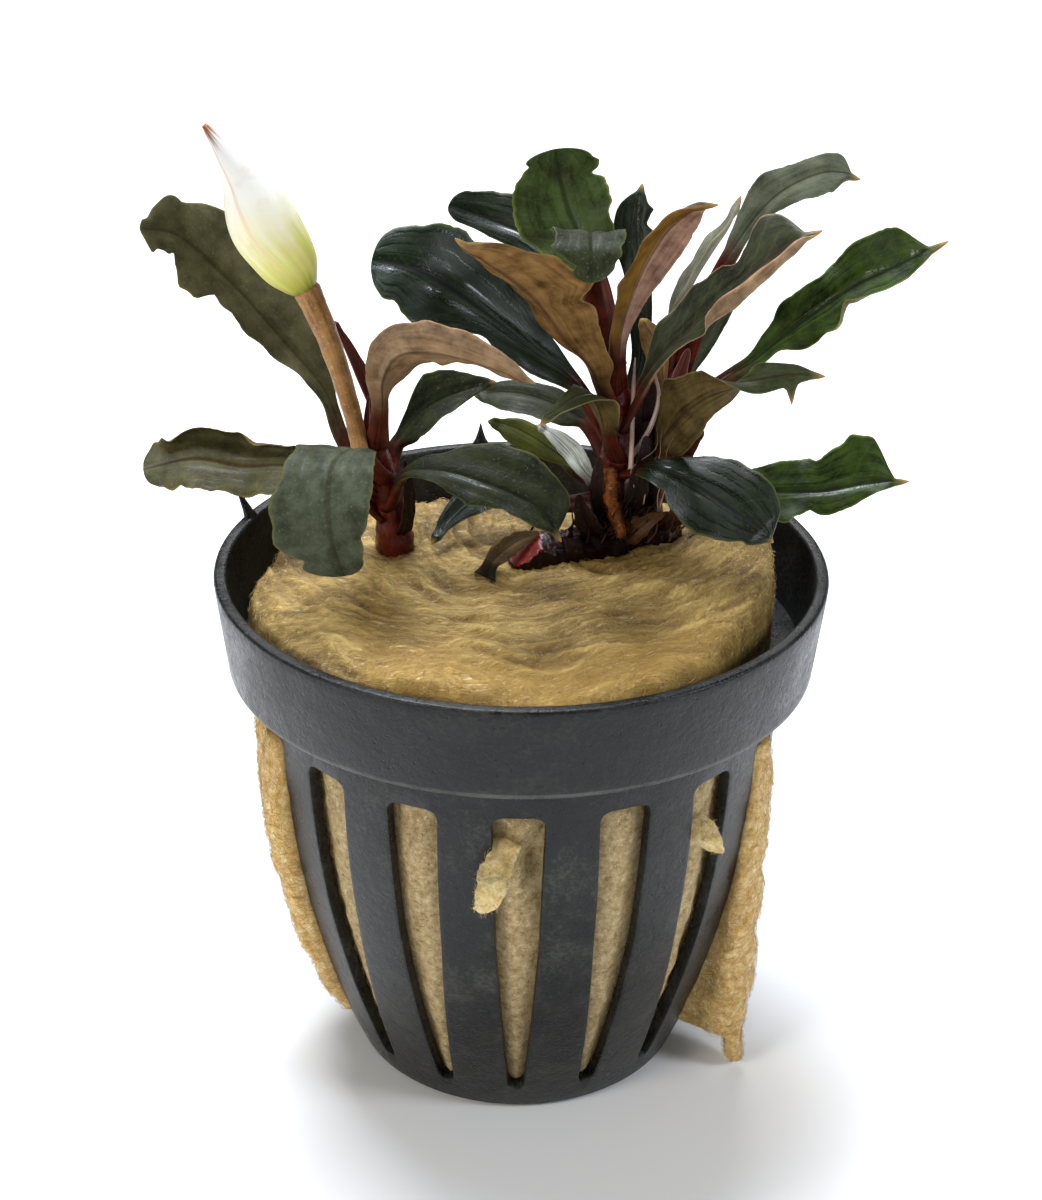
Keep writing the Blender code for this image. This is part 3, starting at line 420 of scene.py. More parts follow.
rim_profile = [(BODY_TOP_RADIUS - POT_WALL, SHELF), (SKIRT_RADIUS - RIM_WALL, SHELF)]
rim_profile += rounded(RIM_RADIUS - RIM_WALL, POT_HEIGHT, 1, -1)[::-1]
rim_profile += rounded(RIM_RADIUS, POT_HEIGHT, -1, -1)
rim_profile += [(RIM_RADIUS - 0.06, POT_HEIGHT - 1.0), (24.6, 41.0)]
rim_profile += rounded(SKIRT_RADIUS, SKIRT_BOTTOM, -1, 1, 0.36)[::-1]
rim_profile += [(BODY_TOP_RADIUS - 0.5, SKIRT_BOTTOM)]
sides = [(k, (k + 1) % len(rim_profile)) for k in range(len(rim_profile))]
rim = new_mesh("net_pot_rim", [Vector((r, 0, z)) for r, z in rim_profile], [], pot_skin, False, sides)
turned = rim.modifiers.new("turned", "SCREW")
turned.steps = turned.render_steps = 224
turned.use_merge_vertices = True
turned.merge_threshold = 0.00001
outward(applied(rim))
rim.data.shade_smooth()
rim.data.set_sharp_from_angle(angle=math.radians(35))
settle(rim, "net_pot")
print("rim faces:", len(rim.data.polygons))

# %% The two points on the lip
for number, (azimuth, height, lean) in enumerate([(99.0, 2.0, 0.0), (160.5, 2.6, 0.5)]):
    turn = Matrix.Rotation(math.radians(azimuth), 3, "Z")
    rings = []
    for rise, deep, wide in ((-1.2, 0.5, 0.95), (0.0, 0.48, 0.8), (0.5, 0.4, 0.5), (height * 0.6, 0.22, 0.26),
                             (height, 0.04, 0.05)):
        out = RIM_RADIUS - RIM_WALL / 2 + lean * max(rise, 0)
        rings.append([turn @ Vector((out + deep * math.cos(a), wide * math.sin(a), POT_HEIGHT + rise))
                      for a in turn_of(10)])
    settle(outward(new_mesh(f"net_pot_point_{number + 1}", *loft(rings), pot_skin)), "net_pot")
print("points on the lip:", number + 1)

# %% [markdown]
# ## The rock wool
#
# Rock wool is basalt melted and spun into fine fibres, laid in felted layers. Cut and stuffed into the pot it
# shows wavy streaks where the layers end at the surface, a short down, and soft bulges where it presses
# through slots. A grid of points over the block carries the ridges, and each point also keeps the number of
# its layer, so that the colour streaks follow the same lines. A scatter of short fibres makes the down.

# %% The shape of the wool's top and edge
WOOL_FLOOR, WOOL_TOP = 1.6, 45.6
WOOL_EDGE = [(-180, 20.2), (-166, 22.2), (-150, 23.0), (-120, 22.9), (-90, 22.6), (-60, 22.0), (-35, 21.0),
             (0, 20.6), (45, 20.3), (90, 20.0), (140, 19.4), (180, 20.2)]
# Swellings and pits of the top: middle, height and spread
WOOL_RELIEF = [(17, -2, 1.3, 9.0), (-6.5, 5.5, 1.5, 2.6), (1, -8, 0.5, 4.0), (-12, -14, 0.4, 5.0),
               (-20, -8, -0.6, 4.0), (3, -21, -1.6, 6.0), (-14, -18, -1.2, 5.0), (16, -16, -0.8, 5.0),
               (-0.6, -5.6, -0.9, 1.3), (-10.6, 1.4, -0.8, 2.2), (7.0, -3.4, -0.5, 2.0)]
WOOL_BACK_LINE, WOOL_BACK_SLOPE = 8.5, 0.5


def layer_at(x, y):
    """Which felted layer lies at a point: arcs round a place behind the plant, bent by noise."""
    bend = 3.4 * bumps(x * 0.08, y * 0.08, 3.1) + 1.1 * bumps(x * 0.24, y * 0.24, 8.0)
    return math.hypot(x - 5, y - 6) + bend


def folds(x, y):
    """Ridges where the layers end at the surface, high along some stretches and flat along others."""
    layer = layer_at(x, y)
    strong = 0.6 + 0.7 * bumps(x * 0.13, y * 0.13, 7.7)
    ridge = 1 - abs(bumps(x * 0.05, layer * 0.36, 5.2)) * 2.6
    fine = 1 - abs(bumps(x * 0.2, layer * 1.3, 1.7)) * 2.6
    lumps = bumps(x * 0.33, y * 0.33, 2.2) + 0.45 * bumps(x * 0.9, y * 0.9, 4.1)
    phase = layer * 0.36 + 1.2 * bumps(x * 0.12, y * 0.12, 11.3)
    share = phase - math.floor(phase)
    step = share ** 1.4 * min((1 - share) / 0.16, 1) * max(bumps(x * 0.15, y * 0.15, 13.1) + 0.3, 0)
    return strong * 0.36 * (ridge + fine) + 0.75 * step + 0.26 * lumps + 0.15 * bumps(x * 2.6, y * 2.6, 9.0)


def wool_top(x, y):
    z = WOOL_TOP + sum(rise * math.exp(-((x - cx) ** 2 + (y - cy) ** 2) / spread ** 2)
                       for cx, cy, rise, spread in WOOL_RELIEF)
    return z - max(y - WOOL_BACK_LINE, 0) * WOOL_BACK_SLOPE


def wool_edge(azimuth):
    """How far the block's side stands from the axis above the pot's shelf."""
    waver = bumps(math.cos(azimuth) * 2.5, math.sin(azimuth) * 2.5, 4)
    return along(WOOL_EDGE, math.degrees(azimuth)) + 0.35 * waver


def edge_drop(azimuth, share):
    """How far the top rounds down towards the block's edge, most on the left."""
    left = max(-math.cos(azimuth), 0)
    return (0.5 + 1.1 * left) * max((share - 0.93 + 0.11 * left) / (0.07 + 0.11 * left), 0) ** 2


def eased(x):
    """0 below 0, 1 above 1, and a soft step between."""
    x = min(max(x, 0), 1)
    return x * x * (3 - 2 * x)


print("wool top at the middle:", round(wool_top(0, 0), 1))

# %% The block
INSET = POT_WALL + 0.35
AZIMUTHS = [a - math.pi for a in turn_of(320)]
HOLLOW, HOLLOW_DEEP = Vector((1.1, 0, 28.9)), 1.5
SIDE_STEPS, TOP_RINGS, TOP_EDGE = 44, 96, 0.985


def slot_swell(azimuth, z):
    """How far the wool presses out into the nearest slot."""
    number = (azimuth - slot_azimuth(0)) / (2 * math.pi / SLOTS)
    beside = abs(number - round(number)) * 2 * math.pi / SLOTS * wall_radius(z)
    half = along(SLOT_SIDE, z) if SLOT_SIDE[0][0] < z < SLOT_SIDE[-1][0] else 0
    return 0.55 * max(1 - (beside / half) ** 2, 0) if half else 0.0


def at(radius, azimuth, z):
    return Vector((radius * math.cos(azimuth), radius * math.sin(azimuth), z))


block_rings, showing = [], []
for i in range(SIDE_STEPS + 1):
    z = WOOL_FLOOR + (SKIRT_BOTTOM - WOOL_FLOOR) * i / SIDE_STEPS
    block_rings.append([])
    for a in AZIMUTHS:
        swell = slot_swell(a, z)
        r = wall_radius(max(z, 2.5)) - INSET + swell
        spot = at(r, a, z)
        dip = math.exp(-((spot.x - HOLLOW.x) ** 2 / 0.5 + (z - HOLLOW.z) ** 2 / 2.5))
        r -= HOLLOW_DEEP * dip * (spot.y < 0)
        r += (0.25 if swell else 0.12) * bumps(spot.x * 0.5, spot.y * 0.5, spot.z * 0.8) - 0.05
        block_rings[-1].append(at(r, a, z))
        showing.append(0.5 if swell > 0.1 else 0.0)
shelf = SHELF + 0.4
for rise, share in ((0.0, 0.3), (0.0, 0.7), (0.06, 0.93), (0.2, 1.0), (0.4, 1.0), (0.6, 1.005), (0.78, 1.0),
                    (0.9, 0.99)):
    block_rings.append([])
    for a in AZIMUTHS:
        edge = wool_edge(a)
        r = (BODY_TOP_RADIUS - INSET) * (1 - share) + edge * share
        top = wool_top(math.cos(a) * edge, math.sin(a) * edge) - edge_drop(a, TOP_EDGE) - 0.2
        z = shelf + (top - shelf) * rise
        r += 0.22 * rise * bumps(r * math.cos(a) * 0.6, r * math.sin(a) * 0.6, z * 1.6)
        block_rings[-1].append(at(r, a, z))
        showing.append(min(rise * 1.6, 1.0))
for i in range(TOP_RINGS):
    share = TOP_EDGE * (1 - i / TOP_RINGS)
    block_rings.append([])
    for a in AZIMUTHS:
        r = wool_edge(a) * share
        x, y = r * math.cos(a), r * math.sin(a)
        block_rings[-1].append(at(r, a, wool_top(x, y) + folds(x, y) * min(r / 3, 1) - edge_drop(a, share)))
        showing.append(1.0 + 1.5 * eased((share - 0.86) / 0.1))
block_points, block_faces = loft(block_rings, Vector((0, 0, wool_top(0, 0))))
showing.append(1.0)
print("points in the wool block:", len(block_points))

# %% [markdown]
# ### Spun mineral fibre
#
# The colour comes from the resin binder: amber-brown on the cut top, paler and greyer on the sides, where the
# fibres stand end on and show as a fine grain. On top the layers show as light and dark streaks 0.3 to 1 mm
# apart. Fibres glint here and there, so the gloss is uneven. Single fibres are 6 microns thick, too fine to
# see here, so the ones that stand off the surface are drawn as bundles 0.03 mm wide.


# %% Wool material
def wool_material(name, dark, middle, light, side, thin=0.0):
    """Felted fibre: three streak colours for the top, three for the sides, and how much light passes."""
    made, node, shader, in_mm = new_material(name)
    layer, crest, wash = (node("Attribute", out="Fac", attribute_name=label)
                          for label in ("layer", "crest", "wash"))
    quick = node("CombineXYZ", {"X": layer})
    flow, coarse, small = (node("VectorMath", (
        node("VectorMath", {0: in_mm, "Scale": lengthwise}, operation="SCALE"),
        node("VectorMath", {0: quick, "Scale": across}, operation="SCALE")), operation="ADD")
        for lengthwise, across in ((0.3, 1.15), (1.3, 1.9), (1.9, 4.0)))
    streaks = node("TexNoise", {"Vector": flow, "Scale": 1.0, "Detail": 6.0, "Roughness": 0.68,
                                "Distortion": 0.25})
    grain = node("TexNoise", {"Vector": coarse, "Scale": 1.0, "Detail": 5.0, "Roughness": 0.85})
    specks = node("TexNoise", {"Vector": small, "Scale": 1.0, "Detail": 4.0, "Roughness": 0.8})
    patches = node("TexNoise", {"Vector": in_mm, "Scale": 0.13, "Detail": 4.0})
    both = node("Math", (grain, 0.6, streaks), operation="MULTIPLY_ADD")
    mixed = node("Math", (patches, 0.6, both), operation="MULTIPLY_ADD")
    # The ridges' height brightens the crests and darkens the hollows: painted light and shade.
    crest = node("Math", (crest, 0.1, -0.03), operation="MULTIPLY_ADD")
    share = node("Math", (mixed, 0.4545, crest), operation="MULTIPLY_ADD")
    top = node("ValToRGB", (share,), ramp=[(0.4, dark), (0.61, light), (0.5, middle)])
    for far, most, shade in ((1, 0.08, "#b9a878"), (-1, 0.4, "#c29a46")):
        washed = node("MapRange", (wash, 0, far, 0, most))
        top = node("Mix", {0: washed, 6: top, 7: linear(shade)}, 2, data_type="RGBA")
    pores = node("ValToRGB", (grain,), ramp=[(0.3, side[0]), (0.66, side[2]), (0.46, side[1])])
    height = node("SeparateXYZ", (in_mm,), "Z")
    # Towards the tops of the slots the side wool darkens to brown: partly its own browning, partly painted
    # shade.
    browned = node("Math", (node("MapRange", (height, 27.0, 35.0, 0, 0.5)), patches), operation="MULTIPLY")
    pores = node("Mix", {0: browned, 6: pores, 7: linear(dark)}, 2, data_type="RGBA")
    above = node("MapRange", (height, 36.0, 42.0, 0, 1))
    tone = node("Mix", {0: above, 6: pores, 7: top}, 2, data_type="RGBA")
    # Bright specks are painted glints of single fibres, and dark specks painted shade in small pits.
    for start, end, shade in ((0.58, 0.7, "#f0e2b4"), (0.44, 0.32, dark)):
        speck = node("MapRange", (specks, start, end, 0, 0.6 * (1 - thin)))
        tone = node("Mix", {0: speck, 6: tone, 7: linear(shade)}, 2, data_type="RGBA")
    glint = node("MapRange", (grain, 0.35, 0.65, 0.75, 0.42))
    nap = node("Bump", {"Height": both, "Strength": 0.9, "Distance": 0.32 * MM})
    feed(shader, {"Base Color": tone, "Roughness": glint, "Normal": nap, "IOR": 1.4, "Subsurface Weight": thin,
                  "Subsurface Radius": (1.0, 0.6, 0.25), "Subsurface Scale": 1.6 * MM})
    return made


PULLED = ("#8a6430", "#b98f4e", "#dcc08a")
wool_skin = wool_material("spun_rock_wool", "#5c4820", "#8e7339", "#c7aa63", ("#6b5733", "#a68e60", "#c9b487"))
lip_skin = wool_material("thin_rock_wool", *PULLED, ("#9a7638", "#cfa860", "#eed9a2"), 0.5)
tuft_skin = wool_material("pulled_rock_wool", *PULLED, ("#a8884c", "#d8bd80", "#f2dfae"), 0.3)
fibre_skin, node, shader, in_mm = new_material("single_mineral_fibres")
feed(shader, {"Base Color": linear("#b0935a"), "Roughness": 0.3})
print("wool finishes:", wool_skin.name, lip_skin.name)

# %% The block as a piece
block = outward(new_mesh("rock_wool_block", block_points, block_faces, wool_skin))
washes = []
for p in block_points:
    far = math.hypot(p.x, p.y) / wool_edge(math.atan2(p.y, p.x))
    pale = eased((far - 0.7) / 0.25) * eased((-p.x - 9) / 7)
    amber = eased((far - 0.66) / 0.25) * eased((-p.y - 8) / 9) * (1 - pale)
    washes.append((pale - amber) * (p.z > SHELF))
mark(block, "fuzz", showing)
mark(block, "layer", [layer_at(p.x, p.y) if p.z > SHELF else 0.0 for p in block_points])
# Each point on top keeps its ridge height, from which the material paints light on crests and shade in hollows.
mark(block, "crest", [folds(p.x, p.y) if shown >= 1 else 0.3 for p, shown in zip(block_points, showing)])
mark(block, "wash", washes)
settle(block, "rock_wool")
print(block.name, "has", len(block.data.polygons), "faces")

# %% [markdown]
# Three slots on the sides let the wool out as long lips: two thin ones at the left, and at the right a flap
# that hangs almost to the floor. A small torn tuft hangs from the front slot, and another from the slot two
# to its right. Each is a loft through rings, roughened by noise.


# %% Lips
def rough(point, size, scale, seed):
    """The point moved by smooth noise."""
    return point + size * noise.noise_vector(point * scale + Vector((seed, 0, 0)))


def smooth_line(points, pieces):
    """Points on a smooth curve through the given ones."""
    ends = [2 * points[0] - points[1]] + list(points) + [2 * points[-1] - points[-2]]
    line = []
    for a, b, c, d in zip(ends[:-3], ends[1:-2], ends[2:-1], ends[3:]):
        for i in range(pieces):
            t = i / pieces
            line.append(0.5 * (2 * b + (c - a) * t + (2 * a - 5 * b + 4 * c - d) * t ** 2
                               + (3 * b - a - 3 * c + d) * t ** 3))
    return line + [points[-1]]


# Slot, and stations: height, how far the wool stands out, half width
WOOL_LIPS = [
    (0, [(4.6, 0.3, 0.8), (8, 0.9, 1.2), (14, 1.5, 1.6), (22, 1.7, 2.0), (29, 1.2, 2.0), (33.2, 0.4, 1.4)]),
    (1, [(4.6, 0.4, 0.8), (8, 1.1, 1.2), (14, 1.6, 1.6), (22, 1.7, 2.0), (29, 1.2, 2.0), (33.2, 0.4, 1.4)]),
    (7, [(0.9, 6.0, 0.5), (2.4, 5.7, 1.5), (5, 5.2, 2.1), (9, 4.2, 2.4), (14, 2.9, 2.5), (20, 1.7, 2.5),
         (28, 0.9, 2.3), (33.2, 0.4, 1.5)]),
]
lips = []
for number, levels in WOOL_LIPS:
    out = at(1, slot_azimuth(number), 0)
    side = Vector((-out.y, out.x, 0))
    rings = []
    for z, stands, half in smooth_line([Vector(level) for level in levels], 10):
        r = wall_radius(max(z, 3.0))
        back = r - 2.2 if z > 4.2 else r + stands - 1.3
        ring = []
        for a in turn_of(28):
            bulge = math.copysign(abs(math.cos(a)) ** 0.7, math.cos(a))
            width = half * math.copysign(abs(math.sin(a)) ** 0.8, math.sin(a))
            if bulge < 0 and z > 4.2:
                width *= 0.7
            reach = (back + r + stands) / 2 + bulge * (r + stands - back) / 2
            ring.append(rough(out * reach + side * width + Vector((0, 0, z)), 0.45, 0.45, number))
        rings.append(ring)
    lips.append(outward(new_mesh(f"rock_wool_lip_{number}", *loft(rings), lip_skin)))
print("lips:", len(lips))

# %% Tufts
# Stations from inside a slot down to the tip: middle and half width
TUFTS = {
    "front": [(-0.9, -18.0, 30.6, 1.0), (-1.1, -20.9, 30.5, 1.2), (-1.6, -22.4, 29.6, 1.3),
              (-2.0, -23.1, 28.5, 1.35), (-2.3, -23.3, 27.6, 1.15), (-2.6, -23.2, 26.9, 0.85),
              (-2.8, -23.1, 26.4, 0.3)],
    "right": [(12.9, -13.2, 29.8, 1.2), (14.2, -15.1, 29.4, 1.1), (15.0, -15.9, 28.6, 0.9),
              (15.5, -16.1, 27.9, 0.65), (15.8, -16.0, 27.3, 0.3)],
}
for name, stations in TUFTS.items():
    rings = []
    for x, y, z, r in smooth_line([Vector(s) for s in stations], 9):
        ring = [Vector((x + r * math.cos(a), y + 0.35 * r * math.sin(a), z + 0.5 * r * math.sin(a)))
                for a in turn_of(32)]
        rings.append([rough(rough(point, 0.4, 0.9, 3), 0.14, 2.6, 5) for point in ring])
    lips.append(outward(new_mesh(f"rock_wool_tuft_{name}", *loft(rings), tuft_skin)))
for piece in lips:
    settle(piece, "rock_wool")
print("lips and tufts:", [p.name for p in lips])

# %% [markdown]
# The down is Geometry Nodes: points are scattered where the wool shows, and each gets a short bent fibre that
# lies mostly along the surface. Realized, the fibres become one mesh per area.

# %% A tree that scatters fibres
down_tree, node, down_inputs, given = new_tree("scattered_fibres", {
    "Wool": "Geometry", "Per square mm": "Float", "Length mm": "Float", "Thickness mm": "Float",
    "Rise": "Float", "Seed": "Int", "Skin": "Material"})
where = node("GeometryNodeInputNamedAttribute", {"Name": "fuzz"}, "Attribute", data_type="FLOAT")
density = node("Math", (given["Per square mm"], 1 / MM ** 2), operation="MULTIPLY")
density = node("Math", (density, where), operation="MULTIPLY")
spots = node("GeometryNodeDistributePointsOnFaces",
             {"Mesh": given["Wool"], "Density": density, "Seed": given["Seed"]}).node.outputs
arc = node("GeometryNodeCurveQuadraticBezier",
           {"Resolution": 3, "Start": (-0.5, 0, 0), "Middle": (0.05, 0.28, 0.25), "End": (0.5, -0.05, 0)})
radius = node("Math", (given["Thickness mm"], given["Length mm"]), operation="DIVIDE")
radius = node("Math", (radius, 0.5), operation="MULTIPLY")
hair = node("GeometryNodeCurvePrimitiveCircle", {"Resolution": 3, "Radius": radius})
tube = node("GeometryNodeCurveToMesh", {"Curve": arc, "Profile Curve": hair})
any_way = node("FunctionNodeRandomValue", {"Max": (0.7, 0.7, 2 * math.pi), "Seed": given["Seed"]},
               data_type="FLOAT_VECTOR")
tipped = node("VectorMath", (any_way, given["Rise"]), operation="MULTIPLY")
split = node("SeparateXYZ", (tipped,)).node.outputs
spin = node("CombineXYZ", (split["X"], split["Y"], node("SeparateXYZ", (any_way,), "Z")))
on_surface = node("FunctionNodeRotateEuler", {"Rotation": spots["Rotation"], "Rotate By": spin}, space="LOCAL")
long_or_short = node("FunctionNodeRandomValue", {2: 0.45, 3: 1.3, "Seed": given["Seed"]}, 1, data_type="FLOAT")
size = node("Math", (given["Length mm"], MM), operation="MULTIPLY")
size = node("Math", (size, long_or_short), operation="MULTIPLY")
fibres = node("GeometryNodeInstanceOnPoints",
              {"Points": spots["Points"], "Instance": tube, "Rotation": on_surface, "Scale": size})
real = node("GeometryNodeRealizeInstances", (fibres,))
node("NodeGroupOutput", (node("GeometryNodeSetMaterial", {"Geometry": real, "Material": given["Skin"]}),))
print("nodes in the fibre tree:", len(down_tree.nodes))


# %% Fibres on the block, the lips and the tufts
def grow_down(name, source, node, skin, per_mm2, length, thickness, rise, seed):
    """A mesh of fibres scattered over a piece where its fuzz value is above 0."""
    piece = bpy.data.objects.new(name, source.data.copy())
    bpy.context.scene.collection.objects.link(piece)
    grown = piece.modifiers.new("down", "NODES")
    grown.node_group = down_tree
    for label, value in zip(list(down_inputs)[1:], (per_mm2, length, thickness, rise, seed, skin)):
        grown[down_inputs[label]] = value
    settle(applied(piece), node)
    print(piece.name, "has", len(piece.data.polygons), "faces")


grow_down("rock_wool_down", block, "rock_wool", fibre_skin, 2.8, 0.8, 0.026, 0.9, 11)
for number, piece in enumerate(lips):
    mark(piece, "fuzz", [1.0] * len(piece.data.vertices))
    grow_down(piece.name.replace("wool_", "wool_down_"), piece, "rock_wool", fibre_skin, 12.0, 0.8, 0.026, 1.1,
              20 + number)

# %% [markdown]
# ## Stems, rhizome, root and stalk
#
# Each is a soft round stem with a glossy skin. A ring of points swept along a smooth line makes it, thickened
# at the nodes where leaves were once attached. Its UV map runs round and along it, so that the colour can
# streak lengthwise.

# %% Where the stems run
Limb = namedtuple("Limb", "points finish knots dents")
LIMBS = {
    "left_stem": Limb([(-10.3, 1.4, 41.5, 1.5), (-10.4, 1.5, 45.5, 1.5), (-10.8, 1.5, 49.6, 1.15),
        (-11.6, 1, 53.8, 0.95), (-12.1, 0.6, 56.4, 0.75)], "red", 5, 0.12),
    "right_stem": Limb([(7.3, 0.9, 47, 1.5), (7.5, 1, 52, 1.35), (7.6, 0.8, 56, 1.25), (7.3, 0.5, 60, 1.05),
        (6.9, 0.4, 63.4, 0.75)], "red", 6, 0.12),
    "side_stem": Limb([(10.5, 2.3, 47, 1.1), (10.4, 2.4, 52, 1), (10.8, 2.5, 55.2, 0.9),
        (11.7, 2.7, 58.6, 0.75), (12.8, 3, 61.4, 0.3)], "red", 5, 0.12),
    "rhizome": Limb([(-0.9, -3.4, 46.6, 1.2), (0.6, -2.5, 46.7, 1.35), (3.3, -1.2, 46.5, 1.5),
        (7.2, 0.4, 46.6, 1.6), (11, 1.6, 46.9, 1.5), (13, 2.4, 47.2, 0.9)], "bark", 7, 0.26),
    "hanging_root": Limb([(7.1, -0.3, 53.4, 0.55), (7, -1.1, 52.6, 0.55), (7.1, -1.7, 51.2, 0.5),
        (7.6, -2.1, 49.8, 0.44), (7.9, -2.4, 48.9, 0.38), (8, -2.6, 48.3, 0.3)], "root", 0, 0.42),
    "flower_stalk": Limb([(-12.6, -0.3, 50.6, 0.6), (-12.95, -0.5, 55, 0.68), (-13.4, -0.4, 57.6, 0.72),
        (-14.25, -0.6, 61.2, 0.8), (-15.3, -0.9, 64.8, 0.9), (-16.5, -1, 67.9, 1.05), (-16.9, -1, 68.9, 1.1)],
        "stalk", 0, 0.06),
}


def tube_piece(name, line, knots, skin, dents, seed, around=32):
    """A tube through points with a radius each, its ends rounded off, with a UV map round and along it."""
    rings, lengths = [], [0.0]
    for a, b in zip(line[:-1], line[1:]):
        lengths.append(lengths[-1] + (b.to_3d() - a.to_3d()).length)
    forward = (line[1].to_3d() - line[0].to_3d()).normalized()
    side = forward.cross(Vector((0, 1, 0.01))).normalized()
    for i, here in enumerate(line):
        ahead, behind = line[min(i + 1, len(line) - 1)], line[max(i - 1, 0)]
        forward = (ahead.to_3d() - behind.to_3d()).normalized()
        side = (side - forward * side.dot(forward)).normalized()
        other = forward.cross(side)
        share = lengths[i] / lengths[-1]
        knot = 0.10 * abs(math.sin(math.pi * knots * share)) ** 12 if knots else 0.0
        cap = min(lengths[i], lengths[-1] - lengths[i])
        radius = here[3] * (1 + knot) * math.sqrt(1 - max(1 - cap / (0.7 * here[3]), 0) ** 2 * 0.98)
        ring = []
        for a in turn_of(around):
            spot = here.to_3d() + (side * math.cos(a) + other * math.sin(a)) * radius
            dent = noise.noise(spot * 0.9 + Vector((seed, 0, 0))) + 0.7 * noise.noise(spot * 2.6)
            ring.append(here.to_3d().lerp(spot, 1 + dents * dent))
        rings.append(ring)
    piece = outward(new_mesh(name, *loft(rings), skin))
    layer = piece.data.uv_layers.new(name="UVMap")
    for polygon in piece.data.polygons:
        wraps = {v % around for v in polygon.vertices} >= {0, around - 1}
        for loop in polygon.loop_indices:
            v = piece.data.loops[loop].vertex_index
            column = v % around + (around if wraps and v % around == 0 else 0)
            layer.data[loop].uv = (column / around, lengths[v // around] / lengths[-1])
    return piece


print("stems and stalks:", len(LIMBS))

# %% [markdown]
# ### Stem skins
#
# Young stems are fleshy with a thin waxy skin, so they are glossy, and the red pigment lies in streaks along
# the cells. The rhizome's old skin is corky and almost black. The root is covered in short velvety hairs, and
# the flower's stalk is smooth and pinkish, with fine pale dashes.


# %% Stem materials
def stem_material(name, dark, light, roughness, streaks, bump, spot, spots, shine=0.5):
    """Plant skin with colour streaked along the stem."""
    made, node, shader, in_mm = new_material(name)
    drawn = node("Mapping", {"Vector": node("UVMap", uv_map="UVMap"), "Scale": (streaks, 3.0, 1.0)})
    lines = node("TexNoise", {"Vector": drawn, "Scale": 1.0, "Detail": 5.0, "Roughness": 0.6})
    blots = node("TexNoise", {"Vector": in_mm, "Scale": 0.7, "Detail": 5.0, "Roughness": 0.6})
    grains = node("TexNoise", {"Vector": in_mm, "Scale": 3.4, "Detail": 3.0})
    both = node("Math", (lines, blots), operation="ADD")
    half = node("Math", (both, 0.5), operation="MULTIPLY")
    tone = node("ValToRGB", (half,), ramp=[(0.36, dark), (0.64, light)])
    spotted = node("MapRange", (grains, 0.58, 0.70, 0, spots))
    tone = node("Mix", {0: spotted, 6: tone, 7: linear(spot)}, 2, data_type="RGBA")
    feed(shader, {"Base Color": tone, "Roughness": roughness, "IOR": 1.36, "Specular IOR Level": shine,
                  "Normal": node("Bump", {"Height": both, "Strength": bump, "Distance": 0.12 * MM})})
    return made


stem_skins = {
    "red": stem_material("glossy_red_stem", "#280b06", "#6c2214", 0.3, 14.0, 0.7, "#8f4630", 0.3),
    "bark": stem_material("corky_rhizome", "#090403", "#220e09", 0.3, 8.0, 1.4, "#4c2a1c", 0.4, 0.25),
    "cut": stem_material("fresh_cut_stem", "#4a110b", "#82281d", 0.28, 10.0, 0.4, "#a8604c", 0.4),
    "root": stem_material("velvety_root", "#4c2409", "#98561c", 0.75, 6.0, 1.4, "#c98a44", 0.6),
    "stalk": stem_material("smooth_flower_stalk", "#7a5226", "#bb8c50", 0.38, 22.0, 0.5, "#d9b282", 0.5),
}
limb_lines = {name: smooth_line([Vector(p) for p in limb.points], 16) for name, limb in LIMBS.items()}
limbs = {}
for number, (name, limb) in enumerate(LIMBS.items()):
    limbs[name] = settle(tube_piece(name + "_skin", limb_lines[name], limb.knots, stem_skins[limb.finish],
                                    limb.dents, number), name)
    print(limbs[name].name, "has", len(limbs[name].data.polygons), "faces")
root = limbs["hanging_root"]
mark(root, "fuzz", [1.0] * len(root.data.vertices))
grow_down("hanging_root_hairs", root, "hanging_root", stem_skins["root"], 26.0, 0.45, 0.03, 2.2, 31)

# %% [markdown]
# The creeping stem was cut off with a blade at its old end, at a slant. Every point beyond the cut's plane is
# drawn back on to it, and the faces that come to lie in the plane get the colour of the fresh cut.

# %% The cut end of the creeping stem
CUT_PLACE, CUT_NORMAL = Vector((0.7, -2.8, 47.35)), Vector((-0.42, -0.34, 0.84)).normalized()
rhizome = limbs["rhizome"].data
for vertex in rhizome.vertices:
    beyond = (vertex.co / MM - CUT_PLACE).dot(CUT_NORMAL)
    if beyond > 0 and vertex.co.x < 3.4 * MM:
        vertex.co -= CUT_NORMAL * beyond * MM
rhizome.materials.append(stem_skins["cut"])
cut_faces = [face for face in rhizome.polygons
             if abs((face.center / MM - CUT_PLACE).dot(CUT_NORMAL)) < 0.05 and face.center.x < 3.6 * MM]
for face in cut_faces:
    face.material_index = 1
print("faces in the cut:", len(cut_faces))

# %% [markdown]
# ## Leaves
#
# A leaf is a stalk that flattens into a blade: thickest along the midrib, thin at its margin, grooved above
# the midrib and ridged below it. One function makes every leaf, because they all grow the same way. It takes
# the midrib as a smooth line and half widths on each side, and lays rings of 56 points along it, round on the
# stalk and flat on the blade. The margin can ripple, and the outer half can twist.

# %% A leaf's values
STALK_WIDE, STALK_DEEP, BLADE_DEEP, POINT_WIDE = 0.72, 0.45, 0.15, 0.42
